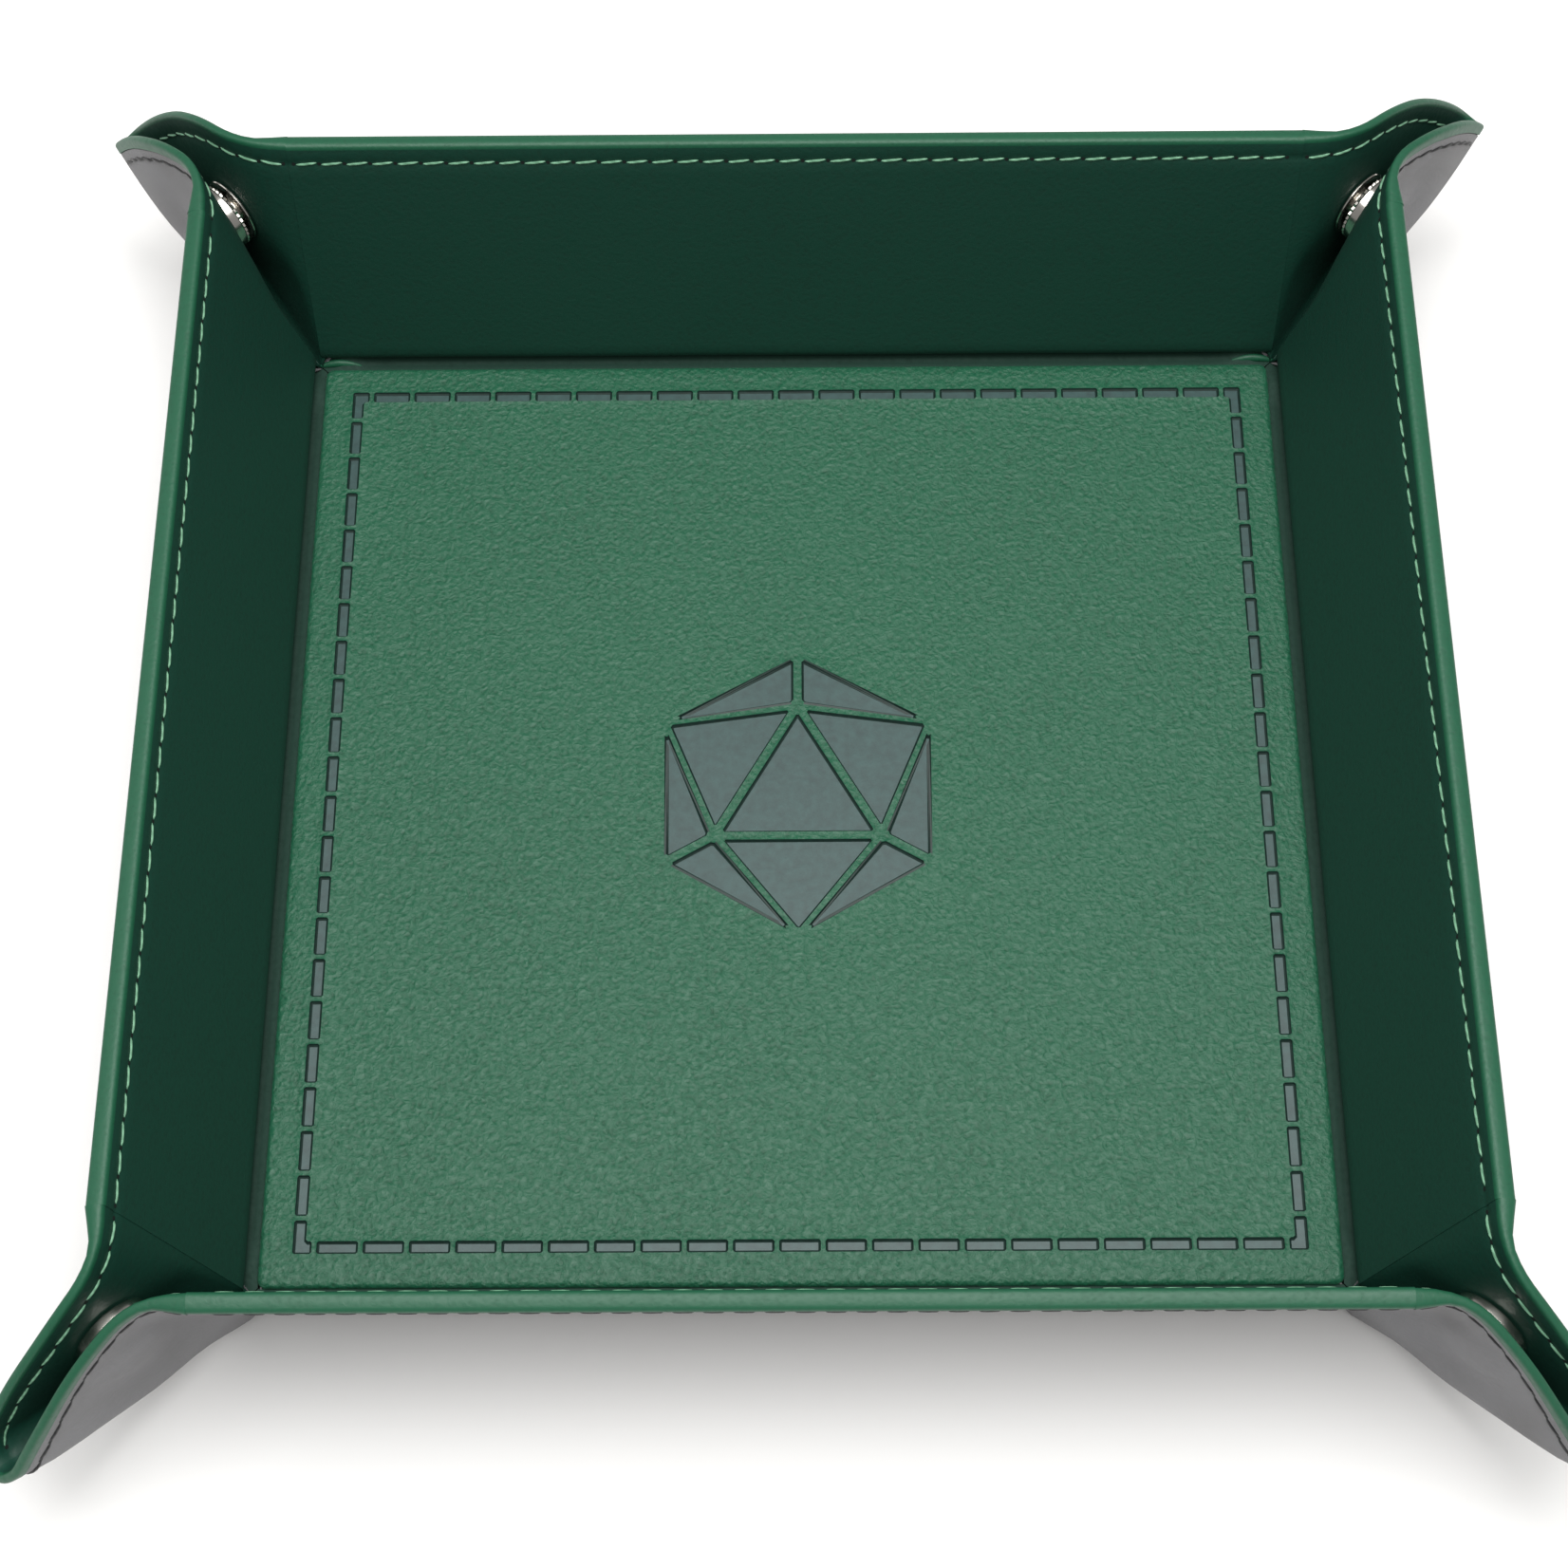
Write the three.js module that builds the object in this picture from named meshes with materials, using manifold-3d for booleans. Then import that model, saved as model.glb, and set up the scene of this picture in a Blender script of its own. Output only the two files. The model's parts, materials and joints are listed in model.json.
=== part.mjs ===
// Folding dice tray: a leather-covered base with four hinged walls, four pinched
// corners and a press stud in each corner that holds the tray up.
// Millimetres, +Z up, origin under the middle of the base. The tray stands folded up.

import * as THREE from 'three';
import { mergeVertices } from 'three/addons/utils/BufferGeometryUtils.js';
import Module from 'manifold-3d';

const wasm = await Module();
wasm.setup();

// ---- Driving dimensions -------------------------------------------------

const HINGE_HALF = 93.5; // middle of the tray to each wall's fold line
const WALL_LENGTH = 53.5; // fold line to the rim, along the wall
const FOLD_ANGLE = THREE.MathUtils.degToRad(75); // wall above the table when snapped up

const BACK_THICKNESS = 0.7; // suede-like backing
const BOARD_THICKNESS = 1.1; // stiff board inside the base and the walls
const FACE_THICKNESS = 0.95; // leather face
const LAYER_GAP = 0.25; // glue line left open between layers
const HINGE_HEIGHT = 1.0; // fold line above the table

const BASE_GROOVE = 2.8; // fold line back to the edge of the base's leather
const BASE_SKIRT = 0.75; // leather turned down round the base board
const BASE_EDGE_RADIUS = 1.1; // softened top edge of the base
const WALL_GROOVE = 2.6; // fold line out to the foot of the wall's leather
const WALL_END_SETBACK = 2.0; // fold corner back to the end of the wall's leather
const BOARD_SETBACK = 1.5; // end of the leather back to the end of the wall board
const RIM_TURN = 1.0; // leather turned over the rim
const WALL_FOOT_CLEARANCE = 0.4; // board's foot above the leather's foot

const SPINE_TILT = THREE.MathUtils.degToRad(26); // ear's lower fold above the table
const SPINE_SHARE = 1.12; // fold corner to the ear's tip, as a share of the wall's length
const EAR_HALF_GAP = 2.3; // leather face to the corner's diagonal plane when snapped
const SPINE_OPEN_GAP = 0.4; // spine edge to the diagonal when opened flat
const SPINE_TRIM = 3.4; // clearance cut from the spine edge at the tip
const SPINE_FOOT_TRIM = 1.6; // clearance cut from the spine edge at its foot
const EAR_FOOT = 5; // spine edge starts this far out from the fold corner
const EAR_SIDE_GAP = 0.6; // ear's side edge to the fold beside the wall
const CORNER_SHARE = 0.67; // rounded corner of the opened sheet, as a share of the wall's length
const BACK_INSET = 0.8; // backing cut smaller than the leather on the ears

const SNAP_ALONG_SHARE = 0.55; // snap centre along the spine, as a share of the wall's length
const SNAP_ABOVE_SHARE = 0.365; // snap centre above the spine, as a share of the wall's length
const SNAP_FLANGE_DIAMETER = 11.0; // foot of the post, hidden between leather and backing
const SNAP_POCKET_DEPTH = 0.25; // room for the foot, pressed into the leather and the backing
const SNAP_POCKET_GAP = 0.15; // clearance on each face of the foot
const SNAP_RING_DIAMETER = 13.0;
const SNAP_RING_TEETH = 36;
const SNAP_TOOTH_DEPTH = 0.35;
const SNAP_WEB = 0.5; // floor of the socket ring
const SNAP_CAVITY_DIAMETER = 6.9;
const SNAP_BARREL_DIAMETER = 3.4; // post through the leather
const SNAP_FLARE_DIAMETER = 5.2;
const SNAP_FLARE_HEIGHT = 0.3;
const SNAP_STUD_BASE_DIAMETER = 12.6;
const SNAP_STUD_BASE_HEIGHT = 0.6;
const SNAP_MEETING_GAP = 1.0; // socket ring to the stud's base when pressed together
const SNAP_KNOB_DIAMETER = 6.1;
const SNAP_EDGE = 0.3; // small chamfers on the stud
const SNAP_GAP = 0.3; // clearance between metal and leather or metal and metal
const ROUND_SEGMENTS = 24;
const HOLE_SEGMENTS = 10;
const CORNER_STEPS = 8;
const EDGE_STEPS = 3;
const CUT_MARGIN = 1; // cutting tools reach this far past the face that they open
const MERGE_DISTANCE = 1e-5;

const THREAD_SETBACK = 4.2; // rim down to the stitch line
const THREAD_WIDTH = 0.6;
const THREAD_HEIGHT = 0.4;
const THREAD_LIFT = 0.3;
const THREAD_END_SETBACK = 2.0; // end of the leather back to the end of the stitch line

// ---- Sizes that follow --------------------------------------------------

const BOARD_BOTTOM = BACK_THICKNESS + LAYER_GAP;
const BOARD_TOP = BOARD_BOTTOM + BOARD_THICKNESS;
const FACE_BOTTOM = BOARD_TOP + LAYER_GAP;
const FACE_TOP = FACE_BOTTOM + FACE_THICKNESS;
const EAR_FACE_BOTTOM = BACK_THICKNESS + LAYER_GAP;
const EAR_FACE_TOP = EAR_FACE_BOTTOM + FACE_THICKNESS;
const BASE_HALF = HINGE_HALF - BASE_GROOVE;
const WALL_HALF = HINGE_HALF - WALL_END_SETBACK;
const BOARD_HALF = WALL_HALF - BOARD_SETBACK;
const SPINE_LENGTH = SPINE_SHARE * WALL_LENGTH;
const CORNER_RADIUS = CORNER_SHARE * WALL_LENGTH;
const SNAP_ALONG = SNAP_ALONG_SHARE * WALL_LENGTH;
const SNAP_ABOVE = SNAP_ABOVE_SHARE * WALL_LENGTH;
const SNAP_METAL = 2 * EAR_HALF_GAP - 2 * SNAP_GAP; // room for metal between the two ear faces
const SNAP_RING_HEIGHT = SNAP_METAL - SNAP_STUD_BASE_HEIGHT - SNAP_MEETING_GAP;

// ---- Materials ----------------------------------------------------------

function leatherFace() {
  return new THREE.MeshStandardMaterial({ color: 0x2c6044, roughness: 0.62, metalness: 0 });
}

function suedeBack() {
  return new THREE.MeshStandardMaterial({ color: 0x77757c, roughness: 0.95, metalness: 0 });
}

function greyBoard() {
  return new THREE.MeshStandardMaterial({ color: 0x9a8c78, roughness: 0.9, metalness: 0 });
}

function nickel() {
  return new THREE.MeshStandardMaterial({ color: 0xd8d8d6, roughness: 0.22, metalness: 1 });
}

function greenThread() {
  return new THREE.MeshStandardMaterial({ color: 0x6fae86, roughness: 0.8, metalness: 0 });
}

// ---- Solids -------------------------------------------------------------

function toSolid(geometry) {
  const bare = geometry.clone();
  bare.deleteAttribute('normal');
  bare.deleteAttribute('uv');
  const merged = mergeVertices(bare, MERGE_DISTANCE);
  const mesh = new wasm.Mesh({
    numProp: 3,
    vertProperties: new Float32Array(merged.attributes.position.array),
    triVerts: new Uint32Array(merged.index.array),
  });
  return new wasm.Manifold(mesh);
}

function toGeometry(solid) {
  const mesh = solid.getMesh();
  const geometry = new THREE.BufferGeometry();
  geometry.setAttribute('position', new THREE.BufferAttribute(mesh.vertProperties, 3));
  geometry.setIndex(new THREE.BufferAttribute(mesh.triVerts, 1));
  return geometry;
}

function cut(geometry, ...tools) {
  const solids = tools.map(toSolid);
  return toGeometry(solids.reduce((left, tool) => left.subtract(tool), toSolid(geometry)));
}

function slab(lengthX, fromY, toY, fromZ, toZ) {
  const box = new THREE.BoxGeometry(lengthX, toY - fromY, toZ - fromZ);
  box.translate(0, (fromY + toY) / 2, (fromZ + toZ) / 2);
  return box;
}

function plate(shape, fromZ, toZ) {
  const body = new THREE.ExtrudeGeometry(shape, {
    depth: toZ - fromZ,
    bevelEnabled: false,
    curveSegments: HOLE_SEGMENTS,
  });
  body.translate(0, 0, fromZ);
  return body;
}

function turned(profile) {
  const points = profile.map(([radius, height]) => new THREE.Vector2(radius, height));
  const lathe = new THREE.LatheGeometry(points, ROUND_SEGMENTS);
  lathe.rotateX(Math.PI / 2);
  return lathe;
}

function rod(diameter, fromZ, toZ) {
  const radius = diameter / 2;
  const cylinder = new THREE.CylinderGeometry(radius, radius, toZ - fromZ, ROUND_SEGMENTS);
  cylinder.rotateX(Math.PI / 2);
  cylinder.translate(0, 0, (fromZ + toZ) / 2);
  return cylinder;
}

function named(name, geometry, material) {
  const mesh = new THREE.Mesh(geometry, material);
  mesh.name = name;
  return mesh;
}

// ---- Base ---------------------------------------------------------------

function roundedTopPanel(half, bottom, top, radius) {
  const outline = new THREE.Shape();
  const inner = half - radius;
  outline.moveTo(-inner, -inner);
  outline.lineTo(inner, -inner);
  outline.lineTo(inner, inner);
  outline.lineTo(-inner, inner);
  outline.closePath();
  const panel = new THREE.ExtrudeGeometry(outline, {
    depth: top - bottom - 2 * radius,
    bevelThickness: radius,
    bevelSize: radius,
    bevelSegments: EDGE_STEPS,
    curveSegments: 1,
  });
  panel.translate(0, 0, bottom + radius);
  return panel;
}

function buildBase() {
  const group = new THREE.Group();
  const panel = roundedTopPanel(BASE_HALF, 0, FACE_TOP, BASE_EDGE_RADIUS);
  const pocketHalf = BASE_HALF - BASE_SKIRT;
  const below = slab(2 * HINGE_HALF, -HINGE_HALF, HINGE_HALF, -CUT_MARGIN, BOARD_BOTTOM);
  const pocket = slab(2 * pocketHalf, -pocketHalf, pocketHalf, -CUT_MARGIN, FACE_BOTTOM);
  const boardHalf = pocketHalf - LAYER_GAP;
  const board = slab(2 * boardHalf, -boardHalf, boardHalf, BOARD_BOTTOM, BOARD_TOP);
  const back = slab(2 * BASE_HALF, -BASE_HALF, BASE_HALF, 0, BACK_THICKNESS);
  group.add(named('base_face', cut(panel, below, pocket), leatherFace()));
  group.add(named('base_board', board, greyBoard()));
  group.add(named('base_back', back, suedeBack()));
  return group;
}

// ---- Walls: each is drawn lying flat, with its fold line on the X axis ---

function wallFaceGeometry() {
  const section = new THREE.Shape();
  const lipStart = WALL_LENGTH - RIM_TURN;
  section.moveTo(WALL_GROOVE, FACE_BOTTOM);
  section.lineTo(lipStart, FACE_BOTTOM);
  section.lineTo(lipStart, 0);
  section.lineTo(WALL_LENGTH - RIM_TURN / 2, 0);
  section.lineTo(WALL_LENGTH, RIM_TURN / 2);
  section.lineTo(WALL_LENGTH, FACE_TOP - RIM_TURN / 2);
  section.lineTo(WALL_LENGTH - RIM_TURN / 2, FACE_TOP);
  section.lineTo(WALL_GROOVE + FACE_THICKNESS / 2, FACE_TOP);
  section.closePath();
  const face = new THREE.ExtrudeGeometry(section, { depth: 2 * WALL_HALF, bevelEnabled: false });
  face.translate(0, 0, -WALL_HALF);
  face.applyMatrix4(new THREE.Matrix4().makeBasis(
    new THREE.Vector3(0, 1, 0),
    new THREE.Vector3(0, 0, 1),
    new THREE.Vector3(1, 0, 0),
  ));
  return face;
}

function buildWall(side) {
  const panel = new THREE.Group();
  const lipStart = WALL_LENGTH - RIM_TURN - LAYER_GAP;
  const boardFoot = WALL_GROOVE + WALL_FOOT_CLEARANCE;
  const threadLine = WALL_LENGTH - THREAD_SETBACK;
  const threadHalf = WALL_HALF - THREAD_END_SETBACK;
  const threadFoot = FACE_TOP + THREAD_LIFT;
  const board = slab(2 * BOARD_HALF, boardFoot, lipStart, BOARD_BOTTOM, BOARD_TOP);
  const back = slab(2 * WALL_HALF, WALL_GROOVE, lipStart, 0, BACK_THICKNESS);
  const thread = slab(
    2 * threadHalf,
    threadLine - THREAD_WIDTH / 2,
    threadLine + THREAD_WIDTH / 2,
    threadFoot,
    threadFoot + THREAD_HEIGHT,
  );
  panel.add(named(`wall_${side}_face`, wallFaceGeometry(), leatherFace()));
  panel.add(named(`wall_${side}_board`, board, greyBoard()));
  panel.add(named(`wall_${side}_back`, back, suedeBack()));
  panel.add(named(`wall_${side}_thread`, thread, greenThread()));
  panel.position.z = -HINGE_HEIGHT;
  const fold = new THREE.Group();
  fold.position.set(0, HINGE_HALF, HINGE_HEIGHT);
  fold.rotation.x = FOLD_ANGLE;
  fold.add(panel);
  return fold;
}

// ---- Ears: half of each pinched corner belongs to each wall --------------
// A half is drawn in spine coordinates: x along the spine, y above the spine,
// z out of the leather face, with the face's surface at z = 0.

function earPoint(along, outward) {
  const spine = (along + outward) / Math.SQRT2;
  const above = (outward - along) / Math.SQRT2 - SPINE_OPEN_GAP;
  return [spine, above];
}

function earOutline(inset) {
  const shape = new THREE.Shape();
  const edge = WALL_LENGTH - inset;
  const centre = WALL_LENGTH - CORNER_RADIUS;
  const radius = CORNER_RADIUS - inset;
  const arcEnd = Math.PI / 4;
  const tipSpine = SPINE_LENGTH - inset;
  const foot = EAR_FOOT + inset;
  const side = EAR_SIDE_GAP + inset;
  shape.moveTo(...earPoint(side, foot + SPINE_FOOT_TRIM));
  shape.lineTo(foot, SPINE_FOOT_TRIM + inset);
  shape.lineTo(tipSpine, SPINE_TRIM + inset);
  for (let step = 0; step <= CORNER_STEPS; step += 1) {
    const angle = arcEnd + ((Math.PI / 2 - arcEnd) * step) / CORNER_STEPS;
    const [spine, above] = earPoint(
      centre + radius * Math.cos(angle),
      centre + radius * Math.sin(angle),
    );
    if (above > SPINE_TRIM + inset) {
      shape.lineTo(Math.min(spine, tipSpine), above);
    }
  }
  shape.lineTo(...earPoint(side, edge));
  shape.closePath();
  return shape;
}

function addSnapHole(shape) {
  const hole = new THREE.Path();
  const radius = SNAP_BARREL_DIAMETER / 2 + SNAP_GAP;
  hole.absarc(SNAP_ALONG, SNAP_ABOVE, radius, 0, 2 * Math.PI, true);
  shape.holes.push(hole);
  return shape;
}

function snapPocket(fromZ, toZ) {
  const pocket = rod(SNAP_FLANGE_DIAMETER + 2 * SNAP_GAP, fromZ, toZ);
  return pocket.translate(SNAP_ALONG, SNAP_ABOVE, 0);
}

function earFaceGeometry() {
  const skin = plate(addSnapHole(earOutline(0)), -FACE_THICKNESS, 0);
  const pocketTop = -FACE_THICKNESS + SNAP_POCKET_DEPTH;
  return cut(skin, snapPocket(-FACE_THICKNESS - CUT_MARGIN, pocketTop));
}

function earBackGeometry() {
  const backTop = -EAR_FACE_TOP + BACK_THICKNESS;
  const skin = plate(earOutline(BACK_INSET), -EAR_FACE_TOP, backTop);
  return cut(skin, snapPocket(backTop - SNAP_POCKET_DEPTH, backTop + CUT_MARGIN));
}

function snapPost(barrelTop, headRadius) {
  const backTop = -EAR_FACE_TOP + BACK_THICKNESS;
  const flangeFoot = backTop - SNAP_POCKET_DEPTH + SNAP_POCKET_GAP;
  const flangeTop = -FACE_THICKNESS + SNAP_POCKET_DEPTH - SNAP_POCKET_GAP;
  const flange = SNAP_FLANGE_DIAMETER / 2;
  const barrel = SNAP_BARREL_DIAMETER / 2;
  return turned([
    [0, flangeFoot],
    [flange, flangeFoot],
    [flange, flangeTop],
    [barrel, flangeTop],
    [barrel, barrelTop - SNAP_FLARE_HEIGHT],
    [headRadius, barrelTop],
    [0, barrelTop],
  ]);
}

function toothedOutline() {
  const outline = new THREE.Shape();
  const outer = SNAP_RING_DIAMETER / 2;
  const points = 2 * SNAP_RING_TEETH;
  for (let index = 0; index < points; index += 1) {
    const angle = (2 * Math.PI * index) / points;
    const radius = index % 2 === 0 ? outer : outer - SNAP_TOOTH_DEPTH;
    const x = radius * Math.cos(angle);
    const y = radius * Math.sin(angle);
    if (index === 0) {
      outline.moveTo(x, y);
    } else {
      outline.lineTo(x, y);
    }
  }
  outline.closePath();
  return outline;
}

function snapSocket() {
  const foot = SNAP_GAP;
  const floor = foot + SNAP_WEB;
  const top = foot + SNAP_RING_HEIGHT;
  const ring = plate(toothedOutline(), foot, top);
  const cavity = rod(SNAP_CAVITY_DIAMETER, floor, top + CUT_MARGIN);
  const bore = rod(SNAP_BARREL_DIAMETER + 2 * SNAP_GAP, foot - CUT_MARGIN, top);
  return cut(ring, cavity, bore);
}

function snapStud() {
  const foot = SNAP_GAP;
  const shoulder = foot + SNAP_STUD_BASE_HEIGHT;
  const socketFloor = 2 * EAR_HALF_GAP - SNAP_GAP - SNAP_WEB;
  const knobTop = socketFloor - 2 * SNAP_GAP - SNAP_FLARE_HEIGHT;
  const bore = SNAP_BARREL_DIAMETER / 2 + SNAP_GAP;
  const base = SNAP_STUD_BASE_DIAMETER / 2;
  const knob = SNAP_KNOB_DIAMETER / 2;
  return turned([
    [bore, foot],
    [base, foot],
    [base, shoulder - SNAP_EDGE],
    [base - SNAP_EDGE, shoulder],
    [knob - SNAP_EDGE, shoulder],
    [knob, shoulder + 2 * SNAP_EDGE],
    [knob, knobTop - SNAP_EDGE],
    [knob - SNAP_EDGE, knobTop],
    [bore, knobTop],
    [bore, foot],
  ]);
}

function buildEar(side, end, turn, hasSocket) {
  const label = `${side}_${end}`;
  const socketBarrel = SNAP_GAP + SNAP_WEB + SNAP_GAP + SNAP_FLARE_HEIGHT;
  const studBarrel = SNAP_GAP + SNAP_STUD_BASE_HEIGHT;
  const post = hasSocket
    ? snapPost(socketBarrel, SNAP_FLARE_DIAMETER / 2)
    : snapPost(studBarrel, (SNAP_BARREL_DIAMETER - SNAP_GAP) / 2);
  const fitting = hasSocket ? snapSocket() : snapStud();
  const fittingName = hasSocket ? `snap_socket_${label}` : `snap_stud_${label}`;
  post.translate(SNAP_ALONG, SNAP_ABOVE, 0);
  fitting.translate(SNAP_ALONG, SNAP_ABOVE, 0);
  const pieces = [
    [`ear_${label}_face`, earFaceGeometry(), leatherFace()],
    [`ear_${label}_back`, earBackGeometry(), suedeBack()],
    [`snap_post_${label}`, post, nickel()],
    [fittingName, fitting, nickel()],
  ];
  const inPlace = earPlacement();
  const group = new THREE.Group();
  pieces.forEach(([name, geometry, material]) => {
    geometry.applyMatrix4(inPlace);
    if (turn < 0) {
      mirrorAcrossYZ(geometry);
    }
    group.add(named(name, geometry, material));
  });
  return group;
}

function earPlacement() {
  const level = Math.cos(SPINE_TILT) / Math.SQRT2;
  const rise = Math.sin(SPINE_TILT);
  const spine = new THREE.Vector3(level, level, rise);
  const normal = new THREE.Vector3(Math.SQRT1_2, -Math.SQRT1_2, 0);
  const above = new THREE.Vector3().crossVectors(normal, spine);
  const placement = new THREE.Matrix4().makeBasis(spine, above, normal);
  const corner = new THREE.Vector3(HINGE_HALF, HINGE_HALF, HINGE_HEIGHT);
  placement.setPosition(corner.addScaledVector(normal, -EAR_HALF_GAP));
  return placement;
}

function mirrorAcrossYZ(geometry) {
  const position = geometry.attributes.position;
  for (let index = 0; index < position.count; index += 1) {
    position.setX(index, -position.getX(index));
  }
  if (geometry.index) {
    const order = geometry.index.array;
    for (let index = 0; index < order.length; index += 3) {
      [order[index], order[index + 1]] = [order[index + 1], order[index]];
    }
  } else {
    const values = position.array;
    for (let index = 0; index < values.length; index += 9) {
      for (let first = index; first < index + 3; first += 1) {
        [values[first], values[first + 3]] = [values[first + 3], values[first]];
      }
    }
  }
  return geometry;
}

// ---- The tray -----------------------------------------------------------

const SIDES = [
  { name: 'back', turns: 0, plusEnd: 'right', minusEnd: 'left', hasSockets: false },
  { name: 'left', turns: 1, plusEnd: 'back', minusEnd: 'front', hasSockets: true },
  { name: 'front', turns: 2, plusEnd: 'left', minusEnd: 'right', hasSockets: false },
  { name: 'right', turns: 3, plusEnd: 'front', minusEnd: 'back', hasSockets: true },
];

const tray = new THREE.Group();
tray.name = 'dice_tray';
tray.add(buildBase());
SIDES.forEach(({ name, turns, plusEnd, minusEnd, hasSockets }) => {
  const side = new THREE.Group();
  side.rotation.z = (turns * Math.PI) / 2;
  side.add(buildWall(name));
  side.add(buildEar(name, plusEnd, 1, hasSockets));
  side.add(buildEar(name, minusEnd, -1, hasSockets));
  tray.add(side);
});

export default tray;
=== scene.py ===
"""Folding dice tray: a leather base panel with four stiffened walls and eight corner ears held by snaps."""

import json
import logging
import math
from dataclasses import dataclass, field
from enum import Enum
from typing import Callable, Iterable, Optional, Sequence

import bmesh
import bpy
from bpy.types import Material, Node, NodeSocket, NodeTree, Object
from mathutils import Matrix, Vector, noise
from mathutils.geometry import delaunay_2d_cdt

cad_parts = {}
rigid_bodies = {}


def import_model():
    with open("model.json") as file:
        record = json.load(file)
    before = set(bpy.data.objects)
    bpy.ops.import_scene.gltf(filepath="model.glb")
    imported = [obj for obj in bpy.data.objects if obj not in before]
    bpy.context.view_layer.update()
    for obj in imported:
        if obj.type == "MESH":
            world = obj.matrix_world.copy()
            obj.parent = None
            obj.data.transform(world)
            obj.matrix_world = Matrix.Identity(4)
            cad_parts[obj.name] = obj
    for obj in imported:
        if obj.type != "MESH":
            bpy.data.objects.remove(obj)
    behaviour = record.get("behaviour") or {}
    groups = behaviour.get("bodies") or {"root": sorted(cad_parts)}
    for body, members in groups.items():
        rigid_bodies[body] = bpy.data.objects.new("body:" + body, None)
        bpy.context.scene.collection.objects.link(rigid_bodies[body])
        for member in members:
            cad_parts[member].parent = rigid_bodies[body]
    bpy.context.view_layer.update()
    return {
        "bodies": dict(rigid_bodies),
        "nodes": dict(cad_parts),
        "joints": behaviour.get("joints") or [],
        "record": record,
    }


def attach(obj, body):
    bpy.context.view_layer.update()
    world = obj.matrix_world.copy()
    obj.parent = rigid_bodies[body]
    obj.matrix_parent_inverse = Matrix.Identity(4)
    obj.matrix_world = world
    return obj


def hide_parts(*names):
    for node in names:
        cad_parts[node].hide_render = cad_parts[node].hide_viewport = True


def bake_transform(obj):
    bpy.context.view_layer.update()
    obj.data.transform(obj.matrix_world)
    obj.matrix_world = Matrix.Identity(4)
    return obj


LOG = logging.getLogger("dice_tray")

MM = 0.001
ROOT_TWO = math.sqrt(2.0)

# Sizes of the sheet that the tray is cut and folded from, in millimetres.
HINGE_HALF = 93.5
HINGE_HEIGHT = 1.0
BASE_HALF = 90.7
BASE_TOP = 3.25
WALL_HALF = 91.5
WALL_LENGTH = 53.5
WALL_FOOT = 2.6
WALL_LEAN = math.radians(75.0)
STACK = 3.25
LEATHER = 0.95
SUEDE = 0.7
THREAD_INSET = 4.2
STITCH_PITCH = 4.6
HOLE_SIDES = 8


class Side(Enum):
    """The four walls, each with its quarter turns from the back wall."""

    BACK = 0
    LEFT = 1
    FRONT = 2
    RIGHT = 3

    @property
    def label(self) -> str:
        """The wall's name in the model."""
        return self.name.lower()


class End(Enum):
    """The two ends of a wall, seen from inside the tray."""

    PLUS = 1
    MINUS = -1


# The wall that each end of a wall meets.
NEIGHBOUR = {(side, end): Side((side.value - end.value) % len(Side)) for side in Side for end in End}


def hex_to_linear(code: str) -> tuple[float, float, float, float]:
    """Turns an sRGB hex colour into linear values."""
    digits = code.lstrip("#")
    channels = []
    for start in (0, 2, 4):
        value = int(digits[start:start + 2], 16) / 255.0
        channels.append(value / 12.92 if value <= 0.04045 else ((value + 0.055) / 1.055) ** 2.4)
    return channels[0], channels[1], channels[2], 1.0


def smoothstep(value: float) -> float:
    """Eases a value between 0 and 1."""
    clamped = min(1.0, max(0.0, value))
    return clamped * clamped * (3.0 - 2.0 * clamped)


def swell(point: Vector, height: float, spread: float) -> float:
    """Gives the gentle unevenness of a hand-laid skin."""
    return height * noise.noise(point / spread)


def turn_about_hinge(across: float, above: float, lean: float = WALL_LEAN) -> tuple[float, float]:
    """Folds a point of the flat sheet up about a wall's hinge line."""
    outward = HINGE_HALF + across * math.cos(lean) - above * math.sin(lean)
    height = HINGE_HEIGHT + across * math.sin(lean) + above * math.cos(lean)
    return outward, height


def place(side: Side, end: End, point: Vector) -> Vector:
    """Moves a point from the back wall's right half to any wall and end."""
    mirrored = Vector((point.x * end.value, point.y, point.z))
    return Matrix.Rotation(side.value * math.pi / 2.0, 3, "Z") @ mirrored


def add_node(
    tree: NodeTree,
    kind: str,
    settings: Optional[dict] = None,
    links: Optional[dict] = None,
) -> Node:
    """Adds a node with its settings and links."""
    node = tree.nodes.new(kind)
    for name, value in (settings or {}).items():
        if isinstance(name, str) and hasattr(node, name):
            setattr(node, name, value)
        else:
            node.inputs[name].default_value = value
    for name, socket in (links or {}).items():
        tree.links.new(socket, node.inputs[name])
    return node


def new_material(name: str) -> tuple[Material, NodeTree, Node, NodeSocket]:
    """Makes an empty material with one principled shader."""
    material = bpy.data.materials.new(name)
    material.use_nodes = True
    tree = material.node_tree
    tree.nodes.clear()
    shader = add_node(tree, "ShaderNodeBsdfPrincipled")
    add_node(tree, "ShaderNodeOutputMaterial", links={"Surface": shader.outputs["BSDF"]})
    where = add_node(tree, "ShaderNodeTexCoord").outputs["Object"]
    return material, tree, shader, where


def add_noise(tree: NodeTree, where: NodeSocket, size_mm: float, settings: dict) -> Node:
    """Adds a noise texture whose features are about as large as the size given."""
    return add_node(tree, "ShaderNodeTexNoise", {"Scale": 1000.0 / size_mm, **settings}, {"Vector": where})


def add_sum(
    tree: NodeTree, value: NodeSocket, share: float, other: NodeSocket, clamp: bool = False
) -> NodeSocket:
    """Adds a share of one value to another."""
    settings = {"operation": "MULTIPLY_ADD", 1: share, "use_clamp": clamp}
    return add_node(tree, "ShaderNodeMath", settings, {0: value, 2: other}).outputs["Value"]


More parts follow.
